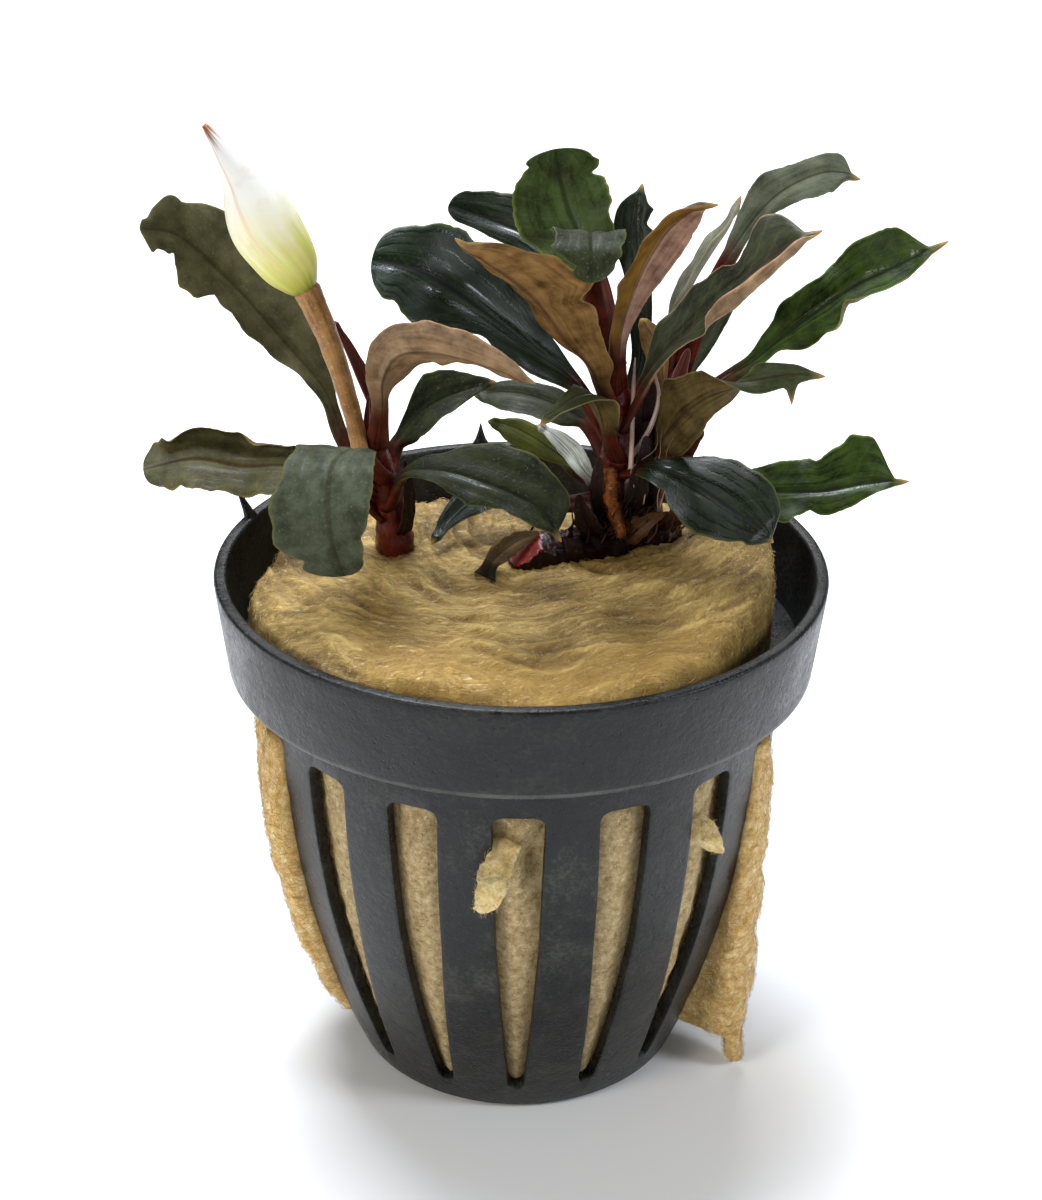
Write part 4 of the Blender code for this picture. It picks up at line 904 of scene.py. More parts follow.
# Where the points of a ring lie: from one margin (-1) to the other (1), closest beside the midrib
HALF_ACROSS = (0.035, 0.08, 0.14, 0.21, 0.29, 0.38, 0.48, 0.58, 0.68, 0.78, 0.88, 0.95, 0.985, 1)
ACROSS = (*[-u for u in reversed(HALF_ACROSS)], 0, *HALF_ACROSS)
STATIONS = tuple(k / 10 for k in range(1, 10))
TWIST_FROM, TWIST_TO = 0.45, 0.8
Leaf = namedtuple("Leaf", "stem height midrib stalk face left right fold twist look ripple close")
LEAVES = {
    "leaf_left_tall": Leaf("left_stem", 50.5, [(-14.5, 2.5, 54.4), (-16, 3.2, 58.4), (-19.7, 4, 62.8),
        (-23.3, 3.7, 67.4), (-26.8, 2.3, 71.4), (-29.3, 0, 72.8)], 0.2, (0.55, -0.65, 0.5),
        (0.8, 1.2, 1.5, 1.8, 2.2, 2.5, 3.5, 2.5, 1.6), (0.8, 2, 3, 3.5, 3.5, 3.6, 3.9, 3.6, 1.9), 8, 0,
        "olive", 0.3, 1),
    "leaf_left_low": Leaf("left_stem", 48.2, [(-14.2, 1, 51), (-18.7, 2, 52.2), (-22.8, 2.8, 51.8),
        (-26.6, 3.1, 52.3), (-30.9, 2.7, 51.5)], 0.3, (0, -0.45, 0.9),
        (2.6, 3.2, 3.4, 3.1, 3, 3.4, 3.5, 3.1, 2.3), (1.4, 2.3, 2.8, 3.4, 3.8, 3.7, 3.6, 3.4, 2.1), 5, 0,
        "curled", 0.25, 1),
    "leaf_left_front": Leaf("left_stem", 51.5, [(-12.2, -3.4, 55.4), (-13.2, -6.6, 57.4), (-14.3, -9.8, 57.4),
        (-14.5, -12.1, 55.2), (-14.1, -12.9, 52.4), (-13.4, -12.5, 49.6)], 0.28, (-0.1, -0.8, 0.6),
        (1.4, 2, 2.7, 3.2, 3.4, 3.3, 3, 2.5, 2), (2.2, 3, 3.5, 3.6, 3.7, 4.3, 4.5, 4.2, 3.1), 4, 0, "sage",
        0.12, 1),
    "leaf_left_arched": Leaf("left_stem", 54.6, [(-11.2, -1.9, 58.4), (-10.9, -3.4, 62), (-9.4, -6, 65.2),
        (-6.4, -8, 66.2), (-2.8, -9.1, 65.6), (0.9, -9, 64)], 0.25, (-0.1, 0.8, 0.55),
        (1.6, 2.5, 3.1, 3.4, 3.2, 3.2, 3, 2.4, 1.6), (1.1, 1.5, 1.9, 2.3, 2.6, 2.7, 2.6, 2.1, 1.3), 10, 0,
        "rose", 0.2, 0.97),
    "leaf_left_grooved": Leaf("left_stem", 52, [(-10, 2.9, 54.4), (-8.7, 3.7, 56), (-6.7, 4.2, 57.3),
        (-4.4, 4.3, 58.2), (-2.2, 4, 59)], 0.18, (0.1, -0.55, 0.8),
        (0.5, 0.7, 1.1, 1.8, 2.4, 2.3, 1.9, 1.4, 0.8), (1.9, 2.4, 2.5, 2.4, 2.3, 2.2, 1.7, 1.1, 0.6), 24, 0,
        "deep", 0.1, 0.97),
    "leaf_left_inner": Leaf("left_stem", 49.4, [(-9.3, -1.4, 53.2), (-6.5, -3, 54.2), (-3.6, -4.2, 54),
        (-0.6, -5.3, 53.2), (1.6, -6.2, 52.2), (3.1, -7, 50)], 0.18, (0.1, -0.6, 0.8),
        (0.9, 1.5, 2, 2.8, 3.4, 3.7, 3.8, 3.3, 2.6), (0.8, 1, 1.4, 1.9, 2.2, 2.1, 2, 1.9, 1.6), 6, 0, "deep",
        0.15, 0.95),
    "leaf_small_dark": Leaf("right_stem", 49.6, [(1.4, 2.6, 48.9), (-1.2, 3.2, 49.6), (-3.7, 3.1, 49.4),
        (-5.6, 1.7, 48.2), (-7.3, -0.6, 46.7)], 0.35, (-0.2, -0.5, 0.8),
        (1.4, 2, 2.2, 2.3, 2.3, 2.1, 1.4, 0.9, 0.5), (1.1, 1.4, 1.6, 1.6, 1.4, 1.2, 1, 0.8, 0.5), 14, 0,
        "dark", 0, 0.97),
    "leaf_right_broad": Leaf("right_stem", 55.6, [(3.8, -1.7, 61.4), (0.8, -2.7, 64.2), (-2.2, -3.4, 66.8),
        (-5.4, -4, 69.4), (-8.4, -4.5, 71.2), (-11.4, -4.6, 71.9)], 0.24, (0.45, -0.75, 0.55),
        (1.4, 1.8, 1.9, 2.1, 2.3, 3.2, 4.2, 4, 3.3), (1, 1.7, 2.3, 3, 3.5, 4, 4.4, 4.3, 3.2), 7, 0, "dark",
        0.15, 1),
    "leaf_right_brown_wide": Leaf("right_stem", 57.6, [(5.4, -3.4, 63.2), (3.4, -5, 66), (1.4, -6.9, 69.4),
        (-0.7, -9, 72.1), (-2.9, -11.3, 74.4), (-4.9, -13, 76.4)], 0.18, (0.3, 0.75, 0.55),
        (1.6, 2.3, 2.9, 3.4, 4, 4.9, 4.8, 4.2, 3), (0.7, 1.1, 1.5, 1.6, 1.5, 1.4, 1.4, 1.1, 0.7), 9, 0, "tan",
        0.15, 0.96),
    "leaf_back_left": Leaf("right_stem", 58.6, [(5.6, 5, 64.1), (3.4, 7.4, 67.7), (0.2, 9.6, 69.4),
        (-3, 10.6, 70.4), (-6.2, 11, 71.4)], 0.35, (-0.3, -0.55, 0.75),
        (1.4, 2, 2.2, 2, 1.7, 1.6, 1.5, 1.3, 1.1), (1.4, 1.9, 2.2, 2.4, 2.5, 2.7, 2.7, 2.4, 1.7), 8, 0,
        "dark", 0.1, 1),
    "leaf_back_round": Leaf("right_stem", 61.6, [(6.3, 3.4, 66.4), (4.8, 5.3, 69.8), (3.6, 6.7, 72),
        (2.8, 7.6, 74.5), (2.3, 8, 77)], 0.42, (-0.1, -0.85, 0.4),
        (2.4, 3, 3.3, 3.7, 4.3, 4.3, 4.1, 3.5, 2.6), (1.9, 2.4, 2.8, 3.2, 3.5, 3.6, 3.5, 3.3, 2.8), 5, 0,
        "fresh", 0.2, 1),
    "leaf_front_drooping": Leaf("right_stem", 62.6, [(5.5, 0.3, 66.4), (5.1, -1.4, 70.5), (4.9, -4.9, 73.8),
        (4.7, -8.4, 75.3), (4.7, -11.2, 75.1), (4.8, -12.6, 73.1)], 0.45, (0, -0.35, 0.9),
        (1.4, 2, 2.3, 2.6, 2.6, 2.6, 2.5, 2.2, 1.7), (1.4, 2.1, 2.5, 2.7, 2.8, 2.8, 2.6, 2.3, 1.5), 6, 0,
        "dusty", 0.25, 1),
    "leaf_back_small": Leaf("right_stem", 57, [(9.3, 3.1, 61), (9.3, 4.3, 64.2), (9.1, 6, 68),
        (8.9, 7.8, 71.6), (9.3, 9, 74)], 0.12, (-0.3, -0.8, 0.4), (0.8, 0.8, 0.9, 1, 1.1, 1.3, 1.8, 2, 1.6),
        (0.8, 0.8, 0.9, 1, 1.1, 1.3, 1.6, 1.5, 1), 10, 0, "dark", 0.1, 0.97),
    "leaf_right_brown_pointed": Leaf("right_stem", 59.6, [(7.3, -2.2, 65.2), (7.9, -3, 68.4), (9, -4, 71.8),
        (10.5, -5.1, 74.8), (12.3, -6.2, 76.7), (14, -7, 77.2)], 0.24, (-0.2, 0.75, 0.55),
        (0.9, 1.1, 1.3, 1.6, 1.9, 2.1, 2.1, 1.8, 1.3), (1, 1.2, 1.5, 1.9, 2.2, 2.2, 2.5, 2.2, 1.6), -30, 0,
        "folded", 0.2, 0.95),
    "leaf_top_right": Leaf("side_stem", 60.4, [(14.6, 5.3, 65.6), (16.4, 6.6, 69), (18.6, 7.7, 72.1),
        (21, 8.5, 74), (24, 9.2, 75), (26.6, 9, 74.5)], 0.44, (-0.25, -0.7, 0.65),
        (1, 1.3, 1.6, 2, 2.1, 1.8, 1.6, 1.7, 1.7), (0.7, 0.8, 0.9, 1.1, 1.4, 1.9, 2.2, 2.2, 1.7), 9, 0, "ash",
        0.2, 0.94),
    "leaf_edge_on": Leaf("side_stem", 58.2, [(11.9, 4.4, 64.6), (13.2, 4.6, 67.6), (14.6, 4.8, 70),
        (15.8, 5, 71.9), (16.8, 5.2, 74.2)], 0.3, (-0.85, -0.2, 0.45),
        (0.7, 0.8, 0.9, 1, 0.9, 1, 1.1, 0.7, 0.4), (0.7, 0.8, 0.9, 0.9, 1, 1, 0.9, 0.7, 0.5), 40, 0, "pale",
        0.2, 0.94),
    "leaf_right_folded": Leaf("right_stem", 56.8, [(10.2, -1.8, 62.8), (12.8, -3, 66.2), (15.2, -4, 69.2),
        (17.6, -5, 71.9), (19.9, -5.8, 74.1), (21.8, -6.2, 75.1)], 0.2, (-0.45, -0.45, 0.75),
        (1.6, 2.5, 3, 3.1, 2.8, 2.4, 2.4, 3.5, 3.2), (0.8, 0.9, 1.2, 1.7, 2.4, 3, 3.1, 2.9, 2.2), 8, 0,
        "rose", 0.2, 0.94),
    "leaf_right_long": Leaf("side_stem", 56.2, [(15.2, 1.4, 59.7), (18.2, 1.1, 62.1), (21.7, 0.9, 65.3),
        (25.3, 0.5, 68.3), (29, 0, 70.5), (32.3, 0, 72.4)], 0.27, (-0.3, -0.65, 0.7),
        (0.8, 1.5, 2.1, 2.4, 2.4, 3, 3.3, 3.2, 2.6), (0.7, 1, 1.7, 2.3, 2.9, 2.4, 1.6, 1.5, 1.2), 10, 0,
        "green", 0.35, 0.93),
    "leaf_right_twisted": Leaf("side_stem", 52.2, [(11.3, -0.6, 56), (12.6, -2.8, 59.1), (15.2, -5.2, 62.2),
        (17.4, -6.3, 63.3), (20, -6.9, 64.1), (22.7, -7, 64)], 0.15, (0.62, 0.79, 0),
        (1.9, 2.1, 2, 1.6, 1.3, 1.4, 1.5, 1.2, 0.8), (1.7, 2.4, 2.8, 2.6, 2.2, 1.7, 1.3, 1.1, 0.9), 6, 172,
        "bronze", 0.1, 0.95),
    "leaf_low_right": Leaf("side_stem", 50.4, [(14.2, 3.4, 50.9), (17.6, 3.7, 49.9), (21.2, 4, 49.5),
        (24.8, 4, 49.6), (28.4, 4, 50.3), (31.8, 4, 50.6)], 0.28, (-0.1, -0.65, 0.75),
        (1.3, 2.1, 2.6, 2.9, 3, 3.1, 3.5, 4, 4), (1.8, 2.4, 2.7, 2.5, 2.1, 2.1, 1.9, 1.4, 0.9), 8, 0, "green",
        0.25, 0.93),
    "leaf_front_glossy": Leaf("right_stem", 52.6, [(10.3, -2.2, 54.3), (12.3, -3.5, 54.1), (14.6, -5, 53.3),
        (17, -6.5, 52.1), (19.5, -8, 50.6)], 0.16, (0.15, -0.6, 0.8),
        (0.9, 1.5, 2.4, 3.1, 3.6, 3.8, 3.9, 3.7, 2.8), (1.4, 2, 2.5, 3.1, 3.6, 3.7, 3.4, 2.9, 2.1), 7, 0,
        "dark", 0.15, 0.98),
    "leaf_small_brown": Leaf("right_stem", 53.8, [(6.5, -2.8, 58.4), (5.6, -4.8, 61.2), (4.1, -7, 62.2),
        (2.6, -9, 61.9), (1.3, -10.2, 61.2)], 0.3, (0.45, 0.45, 0.8),
        (1.2, 1.5, 1.7, 1.8, 1.8, 1.6, 1.3, 0.9, 0.5), (1.2, 1.8, 2.2, 2.1, 1.6, 1.1, 0.8, 0.6, 0.5), 8, 0,
        "bronze", 0.1, 0.96),
    "leaf_inner_bright": Leaf("right_stem", 50.9, [(5, -0.7, 53.2), (3.9, 0.4, 54.5), (2.6, 1.2, 55.5),
        (1.2, 2, 56.1)], 0.25, (-0.3, -0.5, 0.8), (0.5, 0.6, 0.7, 0.8, 0.8, 0.8, 0.7, 0.6, 0.4),
        (0.6, 0.8, 0.9, 0.9, 0.9, 0.8, 0.7, 0.5, 0.3), 5, 0, "bright", 0, 0.97),
    "leaf_inner_green": Leaf("right_stem", 51, [(4.6, 3.2, 51.6), (2.6, 4.5, 52.7), (0.8, 5.5, 53.6),
        (-1, 6.3, 54.2), (-2.9, 6.8, 54.4)], 0.3, (-0.2, -0.6, 0.75),
        (0.6, 0.9, 1.2, 1.4, 1.6, 1.6, 1.5, 1.3, 0.8), (0.7, 0.9, 1.1, 1.1, 1.1, 1, 0.9, 0.7, 0.4), 8, 0,
        "lime", 0, 0.97),
    "leaf_inner_dark": Leaf("right_stem", 53, [(5.2, 3.4, 55.6), (3, 4.4, 56.7), (0.5, 5.4, 57.3),
        (-1.8, 6.2, 57.2), (-4, 6.8, 56.6)], 0.28, (-0.1, -0.45, 0.85),
        (1.4, 1.9, 2.1, 2.2, 2.4, 2.4, 2.1, 1.7, 1.2), (1.2, 1.4, 1.5, 1.5, 1.4, 1.3, 1.2, 1.1, 0.9), 8, 0,
        "grey", 0.1, 0.98),
    "leaf_inner_folded": Leaf("side_stem", 57.6, [(10.8, 1.1, 60.9), (10.5, 1.5, 62.8), (9.8, 1.4, 64.3),
        (9.1, 1.1, 65.5)], 0.25, (-0.4, 0.5, 0.7), (0.6, 0.8, 0.9, 1, 1.1, 1.1, 1.1, 0.9, 0.6),
        (0.6, 0.8, 0.9, 1, 1.1, 1.1, 1.1, 0.9, 0.6), 8, 0, "tan", 0, 0.97),
    "leaf_narrow_grey": Leaf("side_stem", 55, [(13.2, 5.4, 59.3), (14.6, 6.4, 61.7), (16, 7.2, 63.8),
        (17.6, 8.2, 66.3)], 0.3, (-0.4, -0.4, 0.8), (0.8, 1.1, 1.3, 1.4, 1.4, 1.4, 1.3, 1, 0.7),
        (0.8, 1, 1.2, 1.3, 1.3, 1.2, 1.1, 0.9, 0.6), 10, 0, "grey", 0, 0.97),
    "stalk_sheath": Leaf("left_stem", 53.6, [(-11.9, 2.4, 57.4), (-13, 2.1, 60.6), (-14.1, 1.7, 63.3),
        (-15.1, 1.3, 65)], 0.1, (0.5, -0.8, 0.3), (0.7, 0.75, 0.75, 0.75, 0.7, 0.6, 0.5, 0.4, 0.3),
        (0.7, 0.75, 0.75, 0.75, 0.7, 0.6, 0.5, 0.4, 0.3), 25, 0, "sheath", 0, 0.98),
}
# Notches and lobes in a margin: side (-1 left, 1 right), share of the blade, spread, millimetres in or out
MARGIN_NICKS = {
    "leaf_left_tall": [(-1, 0.64, 0.03, -0.8), (-1, 0.76, 0.02, 0.4), (-1, 0.85, 0.02, -0.5),
        (-1, 0.97, 0.02, 0.7), (1, 0.9, 0.03, 0.9), (1, 0.97, 0.02, -0.5)],
    "leaf_left_low": [(1, 0.92, 0.03, 0.4), (-1, 0.86, 0.03, 0.3), (-1, 0.8, 0.02, -0.25)],
    "leaf_left_front": [(1, 0.88, 0.03, -0.5), (-1, 0.8, 0.03, -0.3), (1, 0.3, 0.05, 0.3)],
    "leaf_right_broad": [(-1, 0.5, 0.06, -0.4), (-1, 0.88, 0.03, -0.4), (1, 0.85, 0.03, -0.3)],
    "leaf_right_brown_wide": [(-1, 0.47, 0.03, -0.7), (-1, 0.55, 0.03, 0.5), (-1, 0.8, 0.05, -0.4)],
    "leaf_back_round": [(1, 0.76, 0.035, -0.9), (1, 0.87, 0.03, 0.3), (-1, 0.9, 0.02, -0.3)],
    "leaf_front_drooping": [(1, 0.8, 0.03, 0.5), (1, 0.9, 0.03, -0.4), (-1, 0.85, 0.03, 0.3)],
    "leaf_right_folded": [(-1, 0.62, 0.04, -0.6), (-1, 0.8, 0.04, 0.4)],
    "leaf_right_long": [(1, 0.47, 0.04, 0.6), (1, 0.545, 0.025, -0.7), (1, 0.72, 0.05, 0.4),
        (1, 0.2, 0.04, -0.3), (-1, 0.52, 0.06, -0.3), (-1, 0.82, 0.08, 0.25)],
    "leaf_low_right": [(-1, 0.52, 0.04, -0.3), (-1, 0.74, 0.04, 0.4), (1, 0.33, 0.04, 0.4),
        (1, 0.46, 0.03, -0.4)],
    "leaf_front_glossy": [(1, 0.28, 0.04, -0.35), (1, 0.62, 0.04, 0.3), (1, 0.86, 0.03, -0.3)],
    "leaf_right_twisted": [(1, 0.3, 0.03, 0.4), (1, 0.86, 0.018, 1.8)],
    "leaf_left_inner": [(1, 0.5, 0.05, 0.3), (1, 0.66, 0.04, -0.3)],
    "leaf_back_small": [(1, 0.8, 0.03, -0.5), (1, 0.88, 0.02, 0.4)],
    "leaf_right_brown_pointed": [(1, 0.42, 0.03, -0.4), (1, 0.68, 0.04, 0.3)],
}
# Margins that curl over and show their underside: side, from share, to share, degrees
MARGIN_ROLLS = {
    "leaf_right_folded": (1, 0.38, 1, 165),
    "leaf_left_low": (1, 0.12, 0.9, 125),
    "leaf_right_long": (1, 0.35, 0.9, 55),
    "leaf_left_arched": (1, 0.4, 0.95, 60),
}
print("leaves:", len(LEAVES))


# %% Lines along a leaf
def stem_at(name, z):
    """The middle and the radius of a stem at a height."""
    line = limb_lines[name]
    for low, high in zip(line[:-1], line[1:]):
        if z <= high.z:
            break
    here = low.lerp(high, min(max((z - low.z) / (high.z - low.z), 0), 1))
    return here.to_3d(), here[3]


def leaf_midrib(leaf):
    """The midrib from inside the stem to the tip, with the share of the length at each point."""
    given = [Vector(p) for p in leaf.midrib]
    if leaf.stem:
        middle, radius = stem_at(leaf.stem, leaf.height)
        way = given[0] - middle
        way.z = 0
        given.insert(0, middle + way.normalized() * radius * 0.55)
    line = smooth_line(given, 14)
    lengths = [0.0]
    for a, b in zip(line[:-1], line[1:]):
        lengths.append(lengths[-1] + (b - a).length)
    return line, [v / lengths[-1] for v in lengths], lengths[-1]


def point_at(line, shares, share):
    for i in range(1, len(line)):
        if share <= shares[i]:
            return line[i - 1].lerp(line[i], (share - shares[i - 1]) / (shares[i] - shares[i - 1]))
    return line[-1].copy()


def heading(line, shares, share):
    ahead = point_at(line, shares, min(share + 0.02, 1))
    return (ahead - point_at(line, shares, max(share - 0.02, 0))).normalized()


def point_width(t, close):
    """Half the soft point that runs on from the share close to the leaf's end, with a blunt tip."""
    if close == 1:
        return 0
    return POINT_WIDE * min((1 - t) / (1.03 - close), 1) ** 0.6 * eased((t - close + 0.14) / 0.12)


def half_width(widths, stalk_wide, t, close, nicks=()):
    """Half the blade at a share t of its length. The body closes at the share close."""
    s = t / close
    body = 0.0
    if s > STATIONS[-1]:
        q = min((s - STATIONS[-1]) * 10, 1)
        body = widths[-1] * (math.sqrt(1 - q * q) if close == 1 else (1 - q) ** 1.25 * (1 + 0.85 * q))
    else:
        places = [(-0.1, stalk_wide), (0.0, stalk_wide), *zip(STATIONS, widths),
                  (1.0, 0.6 * widths[-1]), (1.1, 0)]
        for i in range(1, len(places) - 2):
            (t0, w0), (t1, w1) = places[i], places[i + 1]
            if s <= t1:
                m0 = (w1 - places[i - 1][1]) / (t1 - places[i - 1][0])
                m1 = (places[i + 2][1] - w0) / (places[i + 2][0] - t0)
                q, d = (s - t0) / (t1 - t0), t1 - t0
                body = ((2 * q ** 3 - 3 * q ** 2 + 1) * w0 + (q ** 3 - 2 * q ** 2 + q) * d * m0
                        + (3 * q ** 2 - 2 * q ** 3) * w1 + (q ** 3 - q ** 2) * d * m1)
                break
    body += sum(deep * math.exp(-((t - at) / spread) ** 2) for at, spread, deep in nicks) * min(body, 1)
    return math.hypot(max(body, 0), point_width(t, close))


tall = LEAVES["leaf_left_tall"]
print("half width a third along the tall leaf:", round(half_width(tall.right, 0.7, 0.33, 1), 2))

# %% [markdown]
# A ring starts as its middle line: from the midrib outwards on each side the line turns by the fold, by the
# roll where a margin curls over, and by the channel of the stalk. Thickness is then laid on both faces of that
# line. Each ring also carries a UV map, across the blade and along it, a value that is 0 on the leaf's top
# and 1 on its underside, and a value that grows to 1 in the small soft point.

# %% Building one leaf
STALK_ROWS, BLADE_ROWS = 10, 76
MIDDLE_COLUMN = ACROSS.index(0)
# Relief across a blade: height and half width of the groove, the ridge below it and the shoulder beside it
(GROOVE_DEEP, GROOVE_WIDE), (RIDGE_DEEP, RIDGE_WIDE) = (0.16, 0.26), (0.3, 0.34)
SHOULDER_HIGH, SHOULDER_AT, SHOULDER_WIDE, PLEAT_DEEP = 0.05, 0.75, 0.3, 0.11


def leaf_piece(name, leaf, skin, seed):
    """One leaf with its stalk, as a closed mesh."""
    line, shares, length = leaf_midrib(leaf)
    across = heading(line, shares, (leaf.stalk + 1) / 2).cross(Vector(leaf.face)).normalized()
    stops = [leaf.stalk * i / STALK_ROWS for i in range(STALK_ROWS)]
    stops += [leaf.stalk + (1 - leaf.stalk) * math.sin(math.pi / 2 * i / BLADE_ROWS) ** 1.1
              for i in range(BLADE_ROWS)]
    rolled_side, roll_from, roll_to, roll_turn = MARGIN_ROLLS.get(name, (0, 0, 0, 0))
    stalk_wide = min(STALK_WIDE, 0.8 * leaf.left[4])
    rings, marks = [], []
    for share in stops:
        t = max(share - leaf.stalk, 0) / (1 - leaf.stalk)
        forward = heading(line, shares, share)
        right = (across - forward * across.dot(forward)).normalized()
        turned = eased((t - TWIST_FROM) / (TWIST_TO - TWIST_FROM))
        right = Matrix.Rotation(math.radians(leaf.twist) * turned, 3, forward) @ right
        up = right.cross(forward).normalized()
        centre = point_at(line, shares, share)
        flat = min(t / 0.16, 1) ** 0.7
        foot = max(1 - share / max(0.8 * leaf.stalk, 0.1), 0)
        stalk_deep = min(STALK_DEEP, 0.8 * stalk_wide)
        deep = (stalk_deep + (BLADE_DEEP - stalk_deep) * flat) * (1 - 0.55 * max((t - 0.8) / 0.2, 0))
        deep = max(deep, 0.75 * point_width(t, leaf.close))
        top, bottom = {}, {}
        for side in (-1, 1):
            nicks = [n[1:] for n in MARGIN_NICKS.get(name, ()) if n[0] == side]
            wide = half_width(leaf.left if side < 0 else leaf.right, stalk_wide, t, leaf.close, nicks)
            wide = wide if t > 0 else stalk_wide
            wide += 0.75 * stalk_wide * foot ** 2
            wide *= 1 + (0.07 * bumps(t * length * 0.55, 3.0 * side, seed)
                         + 0.03 * bumps(t * length * 1.7, side, seed)) * flat
            window = eased((t - roll_from) / 0.1) * eased((roll_to - t) / 0.08) if rolled_side == side else 0
            wave = math.sin(t * length * 0.55 + seed * 2.1 + 1.9 * side) + 0.5 * math.sin(
                t * length * 1.37 + seed + 2 * side)
            x = z = before = 0.0
            for step in range(MIDDLE_COLUMN + 1):
                u = ACROSS[MIDDLE_COLUMN + side * step] * side
                reach = u * wide
                angle = math.radians(leaf.fold) * flat * min(reach / 0.5, 1)
                angle += math.radians(roll_turn) * window * eased((u - 0.5) / 0.45)
                angle += 1.1 * foot * u
                x += (u - before) * wide * math.cos(angle)
                z += (u - before) * wide * math.sin(angle)
                before = u
                lift = leaf.ripple * wave * u ** 2.5 * flat * min(reach / 1.5, 1)
                pleat = bumps(reach * side * 1.25, t * length * 0.11, seed * 3.7)
                lift += PLEAT_DEEP * pleat * flat * min(reach / 0.5, 1) * (1 - u ** 6) * (1 - t ** 8)
                body = deep * math.sqrt(max(1 - u * u, 0))
                shoulder = SHOULDER_HIGH * math.exp(-((reach - SHOULDER_AT) / SHOULDER_WIDE) ** 2) * flat
                groove = (GROOVE_DEEP * math.exp(-(reach / GROOVE_WIDE) ** 2) * (1 - t) ** 0.4
                          * min(deep / 0.3, 1))
                ridge = RIDGE_DEEP * math.exp(-(reach / RIDGE_WIDE) ** 2) * flat * (1 - t) ** 0.6
                for store, off in ((top, body + shoulder - groove), (bottom, -body - ridge)):
                    along_right = x - math.sin(angle) * (off + lift)
                    along_up = z + math.cos(angle) * (off + lift)
                    store[side * step] = centre + right * side * along_right + up * along_up
        order = range(-MIDDLE_COLUMN, MIDDLE_COLUMN + 1)
        rings.append([top[k] for k in order] + [bottom[k] for k in reversed(order[1:-1])])
        marks.append(t if t else (share - leaf.stalk) / (1 - leaf.stalk))
    piece = outward(new_mesh(name + "_blade", *loft(rings, point_at(line, shares, 1.0)), skin))
    columns = [*ACROSS, *ACROSS[-2:0:-1]]
    count = len(columns)
    layer = piece.data.uv_layers.new(name="UVMap")
    for loop in piece.data.loops:
        row, column = divmod(loop.vertex_index, count)
        at_tip = row == len(marks)
        layer.data[loop.index].uv = (0.5, 1.0) if at_tip else ((columns[column] + 1) / 2, marks[row])
    sides = [0.5 if abs(u) == 1 else float(k >= len(ACROSS)) for k, u in enumerate(columns)]
    mark(piece, "underside", sides * len(marks) + [0.5])
    soft = [max((row - leaf.close + 0.02) / (1.02 - leaf.close), 0) if leaf.close < 1 else 0.0
            for row in marks for u in columns] + [float(leaf.close < 1)]
    for side, place, spread, long in MARGIN_NICKS.get(name, ()):
        if long > 1:
            tips = [max(side * u - 0.6, 0) * 2.5 * math.exp(-((row - place) / spread) ** 2)
                    for row in marks for u in columns] + [0.0]
            soft = [max(pair) for pair in zip(soft, tips)]
    mark(piece, "soft_point", soft)
    return piece


print("points in one leaf:", (2 * len(ACROSS) - 2) * (STALK_ROWS + BLADE_ROWS) + 1)

# %% [markdown]
# ### Leaf skins
#
# A Bucephalandra leaf is thick and leathery, with a smooth cuticle whose gloss is gentle: its IOR is 1.34. It
# is dark green to olive above and tan to red-brown below, with a dark red-brown midrib and a thin pale
# margin. Fine lengthwise lines about 0.3 mm apart break the cuticle's grey highlight into long streaks. Old
# leaves are matt, speckled with mineral dust, and young ones end in an orange-pink point.


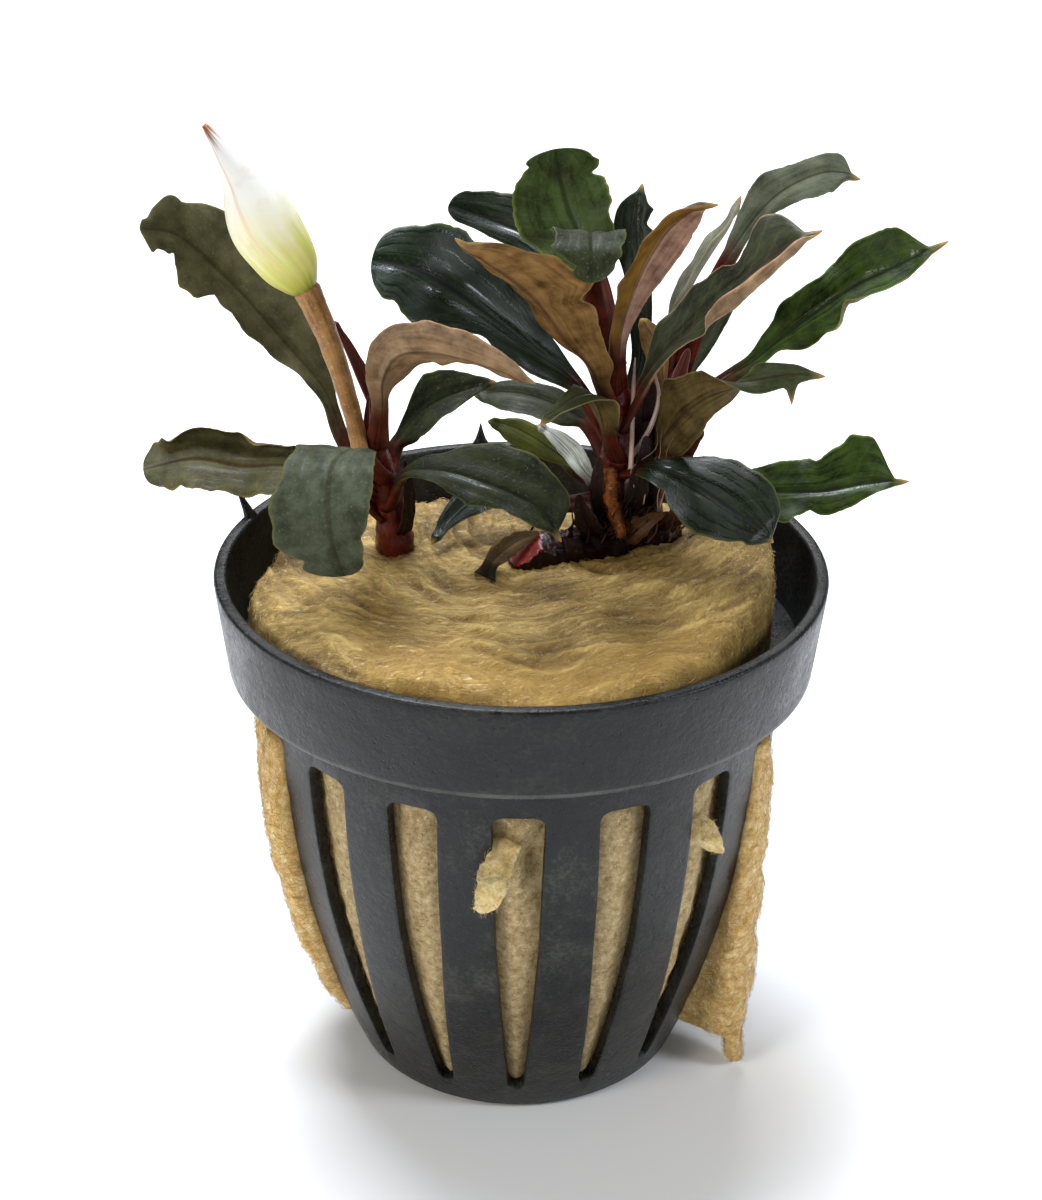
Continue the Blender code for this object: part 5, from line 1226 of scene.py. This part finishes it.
# %% Leaf material
def leaf_material(name, top, under, margin, gloss, speckle, lined=0.5, right_half=None, shine=0.3,
                  midrib=("#2a150c", 0.6), petiole=("#260c06", "#5c2110"), gleam=0.0):
    """A waxy leaf: top and under are (dark, light) pairs, and one more darkens a folded leaf's right half:
    painted shade.
    """
    made, node, shader, in_mm = new_material(name)
    uv = node("UVMap", uv_map="UVMap")
    u, v = node("SeparateXYZ", (uv,)).node.outputs[:2]
    off = node("Math", (u, 0.5), operation="SUBTRACT")
    beside = node("Math", (node("Math", (off,), operation="ABSOLUTE"), 2.0), operation="MULTIPLY")
    waver = node("TexNoise", {"Vector": in_mm, "Scale": 0.35, "Detail": 2.0})
    slant = node("Math", (beside, -0.22, v), operation="MULTIPLY_ADD")
    bent = node("Math", (waver, 0.12, slant), operation="MULTIPLY_ADD")
    phase = node("Math", (bent, 10.0), operation="MULTIPLY")
    saw = node("Math", (phase, 0.5), operation="PINGPONG")
    vein = node("MapRange", (saw, 0, 0.14, 1, 0), interpolation_type="SMOOTHSTEP")
    mottle = node("TexNoise", {"Vector": in_mm, "Scale": 0.6, "Detail": 6.0, "Roughness": 0.62})
    fine = node("TexNoise", {"Vector": in_mm, "Scale": 4.5, "Detail": 5.0, "Roughness": 0.7})
    drawn = node("Mapping", {"Vector": uv, "Scale": (20.0, 2.6, 1.0)})
    lines = node("TexNoise", {"Vector": drawn, "Scale": 1.0, "Detail": 4.0, "Distortion": 0.3})
    tint = node("Mix", {0: lined, 2: mottle, 3: lines}, data_type="FLOAT")
    above, below, foot = (
        node("ValToRGB", (tint,), ramp=[(start, pair[0]), (end, pair[1])])
        for start, end, pair in ((0.36, 0.65, top), (0.36, 0.64, under), (0.38, 0.64, petiole)))
    dots = node("MapRange", (fine, 0.58, 0.74, 0, speckle))
    above = node("Mix", {0: dots, 6: above, 7: linear("#8f8d74")}, 2, data_type="RGBA")
    # A folded leaf's underside: the right half gets a darker pair as painted shade, the left half a lighter one
    # as painted light.
    if right_half:
        other = node("ValToRGB", (tint,), ramp=[(0.36, right_half[0]), (0.64, right_half[1])])
        folded = node("MapRange", (u, 0.5, 0.56, 0, 1))
        below = node("Mix", {0: folded, 6: below, 7: other}, 2, data_type="RGBA")
    side = node("Attribute", out="Fac", attribute_name="underside")
    tone = node("Mix", {0: side, 6: above, 7: below}, 2, data_type="RGBA")
    faint = node("Math", (vein, 0.04), operation="MULTIPLY")
    core = node("MapRange", (beside, 0.02, 0.09, midrib[1], 0), interpolation_type="SMOOTHSTEP")
    rim = node("Math", (node("MapRange", (beside, 0.93, 0.99, 0, 0.9)), mottle), operation="MULTIPLY")
    end = node("Attribute", out="Fac", attribute_name="soft_point")
    soft = node("Math", (end, 0.85), operation="MULTIPLY")
    last = node("MapRange", (end, 0.55, 0.9, 0, 0.75))
    for share, shade in ((faint, margin), (core, midrib[0]), (rim, margin), (soft, "#94804a"),
                         (last, "#b8753c")):
        tone = node("Mix", {0: share, 6: tone, 7: linear(shade)}, 2, data_type="RGBA")
    stalk = node("MapRange", (v, -0.08, 0.1, 1, 0))
    tone = node("Mix", {0: stalk, 6: tone, 7: foot}, 2, data_type="RGBA")
    drier = node("Math", (lines, node("MapRange", (beside, 0.2, 0.5, 0, 0.08))), operation="ADD")
    matt = node("MapRange", (drier, 0.4, 0.6, gloss, gloss + 0.28))
    matt = node("Math", (matt, node("MapRange", (beside, 0.03, 0.08, 0.4, 0))), operation="ADD")
    band = node("Math", (beside, 0.17), operation="SUBTRACT")
    band = node("Math", (band,), operation="ABSOLUTE")
    band = node("MapRange", (band, 0.03, 0.12, gleam, 0))
    flecks = node("Math", (fine, lines), operation="ADD")
    flecks = node("MapRange", (flecks, 0.96, 1.1, 0, 1))
    quilt = node("Math", (vein, -0.05, tint), operation="MULTIPLY_ADD")
    grain = node("Math", (fine, 0.3, quilt), operation="MULTIPLY_ADD")
    feed(shader, {"Base Color": tone, "Roughness": matt, "IOR": 1.34, "Specular IOR Level": shine,
                  "Coat Weight": node("Math", (band, flecks), operation="MULTIPLY"), "Coat Roughness": 0.12,
                  "Normal": node("Bump", {"Height": grain, "Strength": 0.5, "Distance": 0.13 * MM})})
    return made


print("values that make a leaf's finish:", leaf_material.__code__.co_argcount)

# %% Leaf finishes
OLIVE, GREEN, GREY = ("#4a3516", "#7b5f36"), ("#4c5226", "#6d7434"), ("#55523c", "#8a856c")
RED, PAPER, ROTTED = ("#3a100a", "#74301f"), ("#8a6455", "#d8bcae"), ("#0c0503", "#28110a")
SOFTENED, WITHERED, SHADED = ("#241206", "#5c3a18"), ("#2a1c0a", "#5c4522"), ("#22260f", "#3a3f22")
LOOKS = {
    # look: name, top, underside, margin, gloss, speckle, lined, and what differs from the usual
    "dark": ("waxy_dark_green_leaf", ("#081008", "#1a2612"), OLIVE, "#5f6a30", 0.14, 0.12, 0.5,
             dict(shine=0.42, gleam=1.0, midrib=("#060904", 0.85))),
    "grey": ("dusty_grey_green_leaf", ("#191d10", "#3b3f28"), OLIVE, "#6c7040", 0.32, 0.3, 0.3,
             dict(shine=0.25, midrib=("#1a1a10", 0.5))),
    "olive": ("matt_olive_leaf", ("#37361d", "#565234"), OLIVE, "#6e6c3a", 0.36, 0.4, 0.12,
              dict(midrib=("#2a1a0e", 0.4))),
    "curled": ("curled_olive_leaf", ("#2f2e17", "#504c2c"), ("#452a10", "#704e22"), "#80713f", 0.34, 0.4, 0.15,
               dict(shine=0.25)),
    "dusty": ("speckled_leaf", ("#151a0d", "#31371f"), OLIVE, "#5f633a", 0.36, 0.4, 0.25,
              dict(shine=0.2, midrib=("#14180c", 0.4))),
    "deep": ("shaded_dark_olive_leaf", ("#0e1207", "#262b13"), OLIVE, "#5f633a", 0.34, 0.3, 0.25,
             dict(shine=0.2, gleam=0.3, midrib=("#0d1008", 0.5))),
    "lime": ("young_lime_leaf", ("#353d12", "#5c6422"), GREEN, "#7a5a2c", 0.3, 0.2, 0.3, {}),
    # The small bright leaf's pale grey is a painted sheen, on top of its real gloss.
    "bright": ("silvery_leaf", ("#62665a", "#b4b8ac"), GREY, "#c4c6b4", 0.12, 0.1, 0.7, dict(shine=1.0)),
    "green": ("waxy_grass_green_leaf", ("#0e1803", "#33460f"), OLIVE, "#6f8436", 0.2, 0.1, 0.3,
              dict(shine=0.25, gleam=0.5, midrib=("#10160a", 0.7))),
    "fresh": ("backlit_green_leaf", ("#202b0e", "#425226"), GREEN, "#7f9040", 0.26, 0.2, 0.3,
              dict(midrib=("#10160a", 0.6))),
    "tan": ("leaf_with_tan_underside", SHADED, ("#4a3113", "#8c6a3c"), "#8a7440", 0.34, 0.15, 0.35, {}),
    "ash": ("matt_ash_green_leaf", ("#33372a", "#5b5f4b"), OLIVE, "#7d8062", 0.5, 0.3, 0.4,
            dict(shine=0.15, midrib=("#1a1a10", 0.6))),
    "sage": ("matt_sage_green_leaf", ("#2b301f", "#4d5340"), OLIVE, "#6e6c3a", 0.4, 0.4, 0.12,
             dict(midrib=("#2a1a0e", 0.3))),
    "rose": ("leaf_with_rosy_underside", ("#151809", "#33381f"), ("#5a4228", "#a08362"), "#b3906a", 0.32, 0.15,
             0.3, dict(shine=0.5, gleam=0.3)),
    # The folded leaf's underside: left half lighter as painted light, right half darker as painted shade.
    "folded": ("folded_bronze_leaf", SHADED, ("#664634", "#b08a74"), "#a8805a", 0.24, 0.1, 0.35,
               dict(shine=0.25, right_half=("#4c3409", "#7d5a1a"))),
    "bronze": ("twisted_olive_leaf", ("#242a14", "#434a2c"), ("#2e2410", "#6a5a33"), "#8d8250", 0.26, 0.15,
               0.4, {}),
    # The edge-on leaf is pale grey-green, partly its own colour and partly painted sheen.
    "pale": ("bleached_young_leaf", ("#4a4c3c", "#8c8d78"), GREY, "#a8a684", 0.18, 0.3, 0.5, dict(shine=0.6)),
    "sheath": ("thin_red_sheath", RED, RED, "#b98a78", 0.25, 0.2, 0.7, dict(shine=0.5)),
    "membrane": ("dry_sheath_membrane", PAPER, PAPER, "#e8d5ca", 0.2, 0.1, 0.7,
                 dict(shine=0.8, petiole=("#5a3028", "#a87868"))),
    "old": ("rotted_leaf_base", ROTTED, ROTTED, "#3c2214", 0.28, 0.3, 0.4,
            dict(shine=0.35, midrib=("#0c0503", 0.5), petiole=ROTTED)),
    "amber": ("softened_leaf_base", SOFTENED, SOFTENED, "#7a5428", 0.28, 0.3, 0.4,
              dict(shine=0.35, midrib=("#241206", 0.5), petiole=("#0c0503", "#3a1c0c"))),
    "withered": ("withered_leaf", WITHERED, WITHERED, "#8f7440", 0.4, 0.3, 0.5,
                 dict(midrib=("#2a1c0a", 0.4), petiole=("#120b04", "#2a1c0a"))),
}
leaf_skins = {look: leaf_material(*usual, **other) for look, (*usual, other) in LOOKS.items()}
print("leaf finishes:", len(leaf_skins))

# %% All the leaves
for number, (name, leaf) in enumerate(LEAVES.items()):
    settle(leaf_piece(name, leaf, leaf_skins[leaf.look], number), name)
print("leaves made:", len(LEAVES))

# %% [markdown]
# Round the feet of the right shoots stand what is left of older leaves: dark rotted bases, dry papery
# membranes along the living stalks, and one withered leaf lying on the wool. They are leaves too, only short.


# %% Old leaf bases, membranes and a withered leaf
def remnant(stem, height, midrib, wide, face, look, stalk=0.05):
    """A short leaf whose two sides are alike."""
    widths = tuple(wide * share for share in (0.9, 1.05, 0.95, 1.05, 0.9, 0.95, 0.7, 0.6, 0.4))
    return Leaf(stem, height, midrib, stalk, face, widths, widths, 12, 0, look, 0.35 * wide, 1.0)


# Name: the node it belongs to, then stem, height, midrib, half width, facing and look
REMNANTS = {
    "membrane_1": ("right_stem", "right_stem", 51, [(8.7, -0.7, 53), (8.75, -0.95, 56), (8.7, -0.9, 59.5),
        (8.7, -0.8, 63)], 0.09, (0.8, -0.6, 0.1), "membrane"),
    "membrane_2": ("right_stem", "right_stem", 53, [(9.5, -0.3, 55.4), (10.4, -0.5, 57.6), (10.7, -0.6, 60),
        (10, -0.4, 62.4)], 0.09, (0.7, -0.7, 0.1), "membrane"),
    "membrane_3": ("side_stem", "side_stem", 51, [(11.4, 0.6, 52.6), (12.3, -0.4, 54.2), (13.2, -1, 55.8),
        (14.2, -1.3, 57.2)], 1.2, (0.1, -0.9, 0.4), "sheath"),
    "membrane_4": ("left_stem", "left_stem", 50.4, [(-12.2, 0.2, 52.2), (-12.5, 0.1, 54.6),
        (-12.4, 0.1, 57.2), (-12.2, 0.2, 59.2)], 0.4, (-0.3, -0.9, 0.1), "sheath"),
    "old_base_1": ("rhizome", "right_stem", 47.4, [(5.8, -1.6, 48.4), (5.1, -2.1, 49.6), (4.7, -2.2, 50.8),
        (4.6, -2.3, 52)], 1, (-0.4, -0.9, 0.2), "old"),
    "old_base_2": ("rhizome", "right_stem", 47.6, [(8.6, -1.6, 48.2), (9.5, -2, 49), (10.4, -2, 49.7),
        (11.4, -1.9, 50.2)], 0.9, (0.1, -0.8, 0.6), "amber"),
    "old_base_3": ("rhizome", "side_stem", 47.6, [(11.4, 0.4, 48.3), (12.5, -0.2, 49), (13.4, -0.4, 49.5),
        (14.4, -0.4, 49.9)], 0.8, (0.1, -0.8, 0.6), "amber"),
    "old_base_4": ("right_stem", "right_stem", 48.6, [(8.8, -0.8, 50.4), (9.2, -1.2, 52.4), (9.5, -1.3, 54.4),
        (9.8, -1.2, 56.6)], 1, (0.3, -0.95, 0.1), "old"),
    "old_base_5": ("side_stem", "side_stem", 48.6, [(10, 1, 50.4), (9.6, 0.5, 52.4), (9.6, 0.3, 54.6),
        (9.9, 0.2, 57.2)], 1.2, (-0.1, -1, 0.1), "old"),
    "old_base_6": ("right_stem", "right_stem", 48.2, [(6.4, -1, 50), (6.1, -1.4, 51.6), (6, -1.5, 53.2),
        (6.1, -1.4, 54.8)], 0.8, (-0.3, -0.95, 0.1), "old"),
    "old_base_7": ("left_stem", "left_stem", 46.6, [(-9.4, -0.2, 48), (-9.1, -0.5, 50), (-9.1, -0.5, 52),
        (-9.4, -0.4, 54)], 0.55, (0.3, -0.95, 0.1), "old"),
    "old_base_8": ("side_stem", "side_stem", 50.6, [(9.7, 1.6, 53), (9.5, 1.3, 56), (9.7, 1.2, 59),
        (10.4, 1.2, 62.4)], 1.35, (0, -1, 0.1), "old"),
    "old_base_9": ("side_stem", "side_stem", 51.6, [(11.4, 1.6, 54), (11.7, 1.5, 57), (12.2, 1.6, 60),
        (13, 1.8, 62.8)], 1, (0.1, -1, 0.1), "sheath"),
    "withered_leaf": ("rhizome", None, 0, [(-2.9, -5, 45.9), (-2.3, -4.4, 47), (-1.3, -3.6, 47.7),
        (-0.1, -2.6, 48.1), (1.4, -1.8, 48.3)], 0.85, (0, -0.9, 0.45), "withered", 0.2),
}
for number, (name, (node_name, *shape)) in enumerate(REMNANTS.items()):
    leaf = remnant(*shape)
    settle(leaf_piece(name, leaf, leaf_skins[leaf.look], 50 + number), node_name)
print("remnants of older leaves:", len(REMNANTS))


# %% Loose strands
def strands(name, node, count, foot, spread, reach, thick, look, seed):
    """Loose fibres of rotted sheaths: thin crooked tubes that start round a foot."""
    points, faces = [], []
    for k in range(count):
        def any_way(part):
            return noise.noise_vector(Vector((k * 7.31, part * 3.77, seed)))
        here = Vector(foot) + Vector(a * b * 2 for a, b in zip(any_way(1), spread))
        line = [here + Vector(reach) * share + any_way(2 + share * 3) * share * 2.2
                for share in (0, 0.33, 0.66, 1)]
        rings = [[p + Vector((math.cos(a), math.sin(a), 0)) * thick * (1.1 - i / 18)
                  for a in (0, 1.26, 2.51, 3.77, 5.03)] for i, p in enumerate(smooth_line(line, 6))]
        more, skin_faces = loft(rings)
        faces += [tuple(v + len(points) for v in face) for face in skin_faces]
        points += more
    settle(outward(new_mesh(name, points, faces, leaf_skins[look])), node)
    print(name, "has", count, "strands")


strands("pale_sheath_strands", "right_stem", 8, (10.2, -1.1, 50.5), (2.6, 0.6, 2.6), (0.8, -0.2, 5.0), 0.05,
        "membrane", 1)
strands("dark_sheath_strands", "rhizome", 26, (7.0, -1.3, 48.2), (4.6, 0.8, 0.8), (0.4, -0.2, 2.6), 0.12,
        "old", 2)
strands("brown_sheath_strands", "rhizome", 22, (9.8, -1.5, 48.2), (3.6, 0.8, 0.8), (1.6, -0.2, 2.4), 0.1,
        "amber", 3)

# %% [markdown]
# ## The flower
#
# The flower is a spathe, one hood-shaped leaf rolled round the flowering spike, with its edges overlapping
# down one side. It is modelled as what it is: a sheet rolled a little more than once round, gathered to a
# point at the tip and to the stalk at its foot, and given its thickness by Solidify.

# %% The rolled hood
# Stations up the hood: middle, half width and half depth
SPATHE = [(-16.9, -1.0, 68.4, 0.95, 0.9), (-17.15, -1.0, 68.9, 1.35, 1.25), (-17.75, -1.0, 70.0, 2.05, 1.75),
          (-18.6, -1.1, 71.5, 2.42, 2.05), (-19.7, -1.2, 73.4, 2.6, 2.15), (-20.4, -1.3, 75.4, 2.28, 1.95),
          (-21.1, -1.6, 77.3, 1.62, 1.4), (-22.1, -1.9, 79.0, 0.96, 0.85), (-22.95, -2.2, 80.4, 0.45, 0.4),
          (-23.6, -2.4, 81.4, 0.12, 0.11)]
ROLL, ROLL_COLUMNS = 2 * math.pi + 0.9, 72
stations = smooth_line([Vector(p[:4]) for p in SPATHE], 8)
depths = smooth_line([Vector((p[4], 0, 0)) for p in SPATHE], 8)
hood_points = []
for i, here in enumerate(stations):
    ahead, behind = stations[min(i + 1, len(stations) - 1)], stations[max(i - 1, 0)]
    forward = (ahead.to_3d() - behind.to_3d()).normalized()
    right = forward.cross(Vector((0, -1, 0))).normalized()
    up = right.cross(forward)
    share = i / (len(stations) - 1)
    for k in range(ROLL_COLUMNS + 1):
        a = math.radians(80 + 60 * share) - ROLL * (1 - k / ROLL_COLUMNS)
        open_by = 0.09 + 0.05 * math.sin(math.pi * share)
        spiral = 1 + open_by * (k / ROLL_COLUMNS - 0.5) + 0.015 * math.sin(5 * a)
        hood_points.append(here.to_3d() + right * here[3] * spiral * math.cos(a)
                           + up * depths[i].x * spiral * math.sin(a))
wide = ROLL_COLUMNS + 1
hood_faces = [(i * wide + k, i * wide + k + 1, (i + 1) * wide + k + 1, (i + 1) * wide + k)
              for i in range(len(stations) - 1) for k in range(ROLL_COLUMNS)]
print("hood rows:", len(stations))

# %% [markdown]
# ### Spathe skin
#
# The hood is thin and waxy, cream above and yellow-green at its foot, with green streaks that run up from
# the stalk and a dry brown tip. Light passes through it, so it gets a little subsurface scattering.

# %% Spathe material
hood_skin, node, shader, in_mm = new_material("waxy_cream_spathe")
uv = node("UVMap", uv_map="UVMap")
u, v = node("SeparateXYZ", (uv,)).node.outputs[:2]
drawn = node("Mapping", {"Vector": uv, "Scale": (26.0, 1.6, 1.0)})
streak = node("TexNoise", {"Vector": drawn, "Scale": 1.0, "Detail": 4.0})
push = node("Math", (streak, -0.5), operation="ADD")
place = node("Math", (push, 0.35, v), operation="MULTIPLY_ADD")
cream = node("ValToRGB", (place,), ramp=[
    (0.0, "#86862a"), (0.965, "#f4e2c4"), (0.13, "#b6b240"), (0.32, "#dcd672"), (0.47, "#faf1c4"),
    (0.62, "#fffbe8"), (0.9, "#fffaf0")])
dry = node("MapRange", (place, 0.86, 0.97, 0, 1))
edge = node("MapRange", (u, 0.975, 0.99, 0, 0.7))
blush = node("Math", (v, edge), operation="MULTIPLY")
smudge = node("TexNoise", {"Vector": in_mm, "Scale": 0.6, "Detail": 5.0})
smudge = node("MapRange", (smudge, 0.56, 0.72, 0, 0.25))
for share, shade in ((blush, "#c98f72"), (smudge, "#d8a884"), (dry, "#94502a")):
    cream = node("Mix", {0: share, 6: cream, 7: linear(shade)}, 2, data_type="RGBA")
feed(shader, {"Base Color": cream, "Roughness": 0.42, "Subsurface Weight": 0.35,
              "Subsurface Radius": (1.0, 0.8, 0.5), "Subsurface Scale": 1.2 * MM,
              "Normal": node("Bump", {"Height": streak, "Strength": 0.3, "Distance": 0.1 * MM})})
print("spathe material:", hood_skin.name)

# %% The hood as a piece
hood = new_mesh("flower_hood", hood_points, hood_faces, hood_skin)
layer = hood.data.uv_layers.new(name="UVMap")
for loop in hood.data.loops:
    row, column = divmod(loop.vertex_index, wide)
    layer.data[loop.index].uv = (column / ROLL_COLUMNS, row / (len(stations) - 1))
skin = hood.modifiers.new("skin", "SOLIDIFY")
skin.thickness = 0.2 * MM
skin.offset = 0
outward(applied(hood))
hood.data.shade_smooth()
settle(hood, "flower_spathe")
print("hood faces:", len(hood.data.polygons))

# %% [markdown]
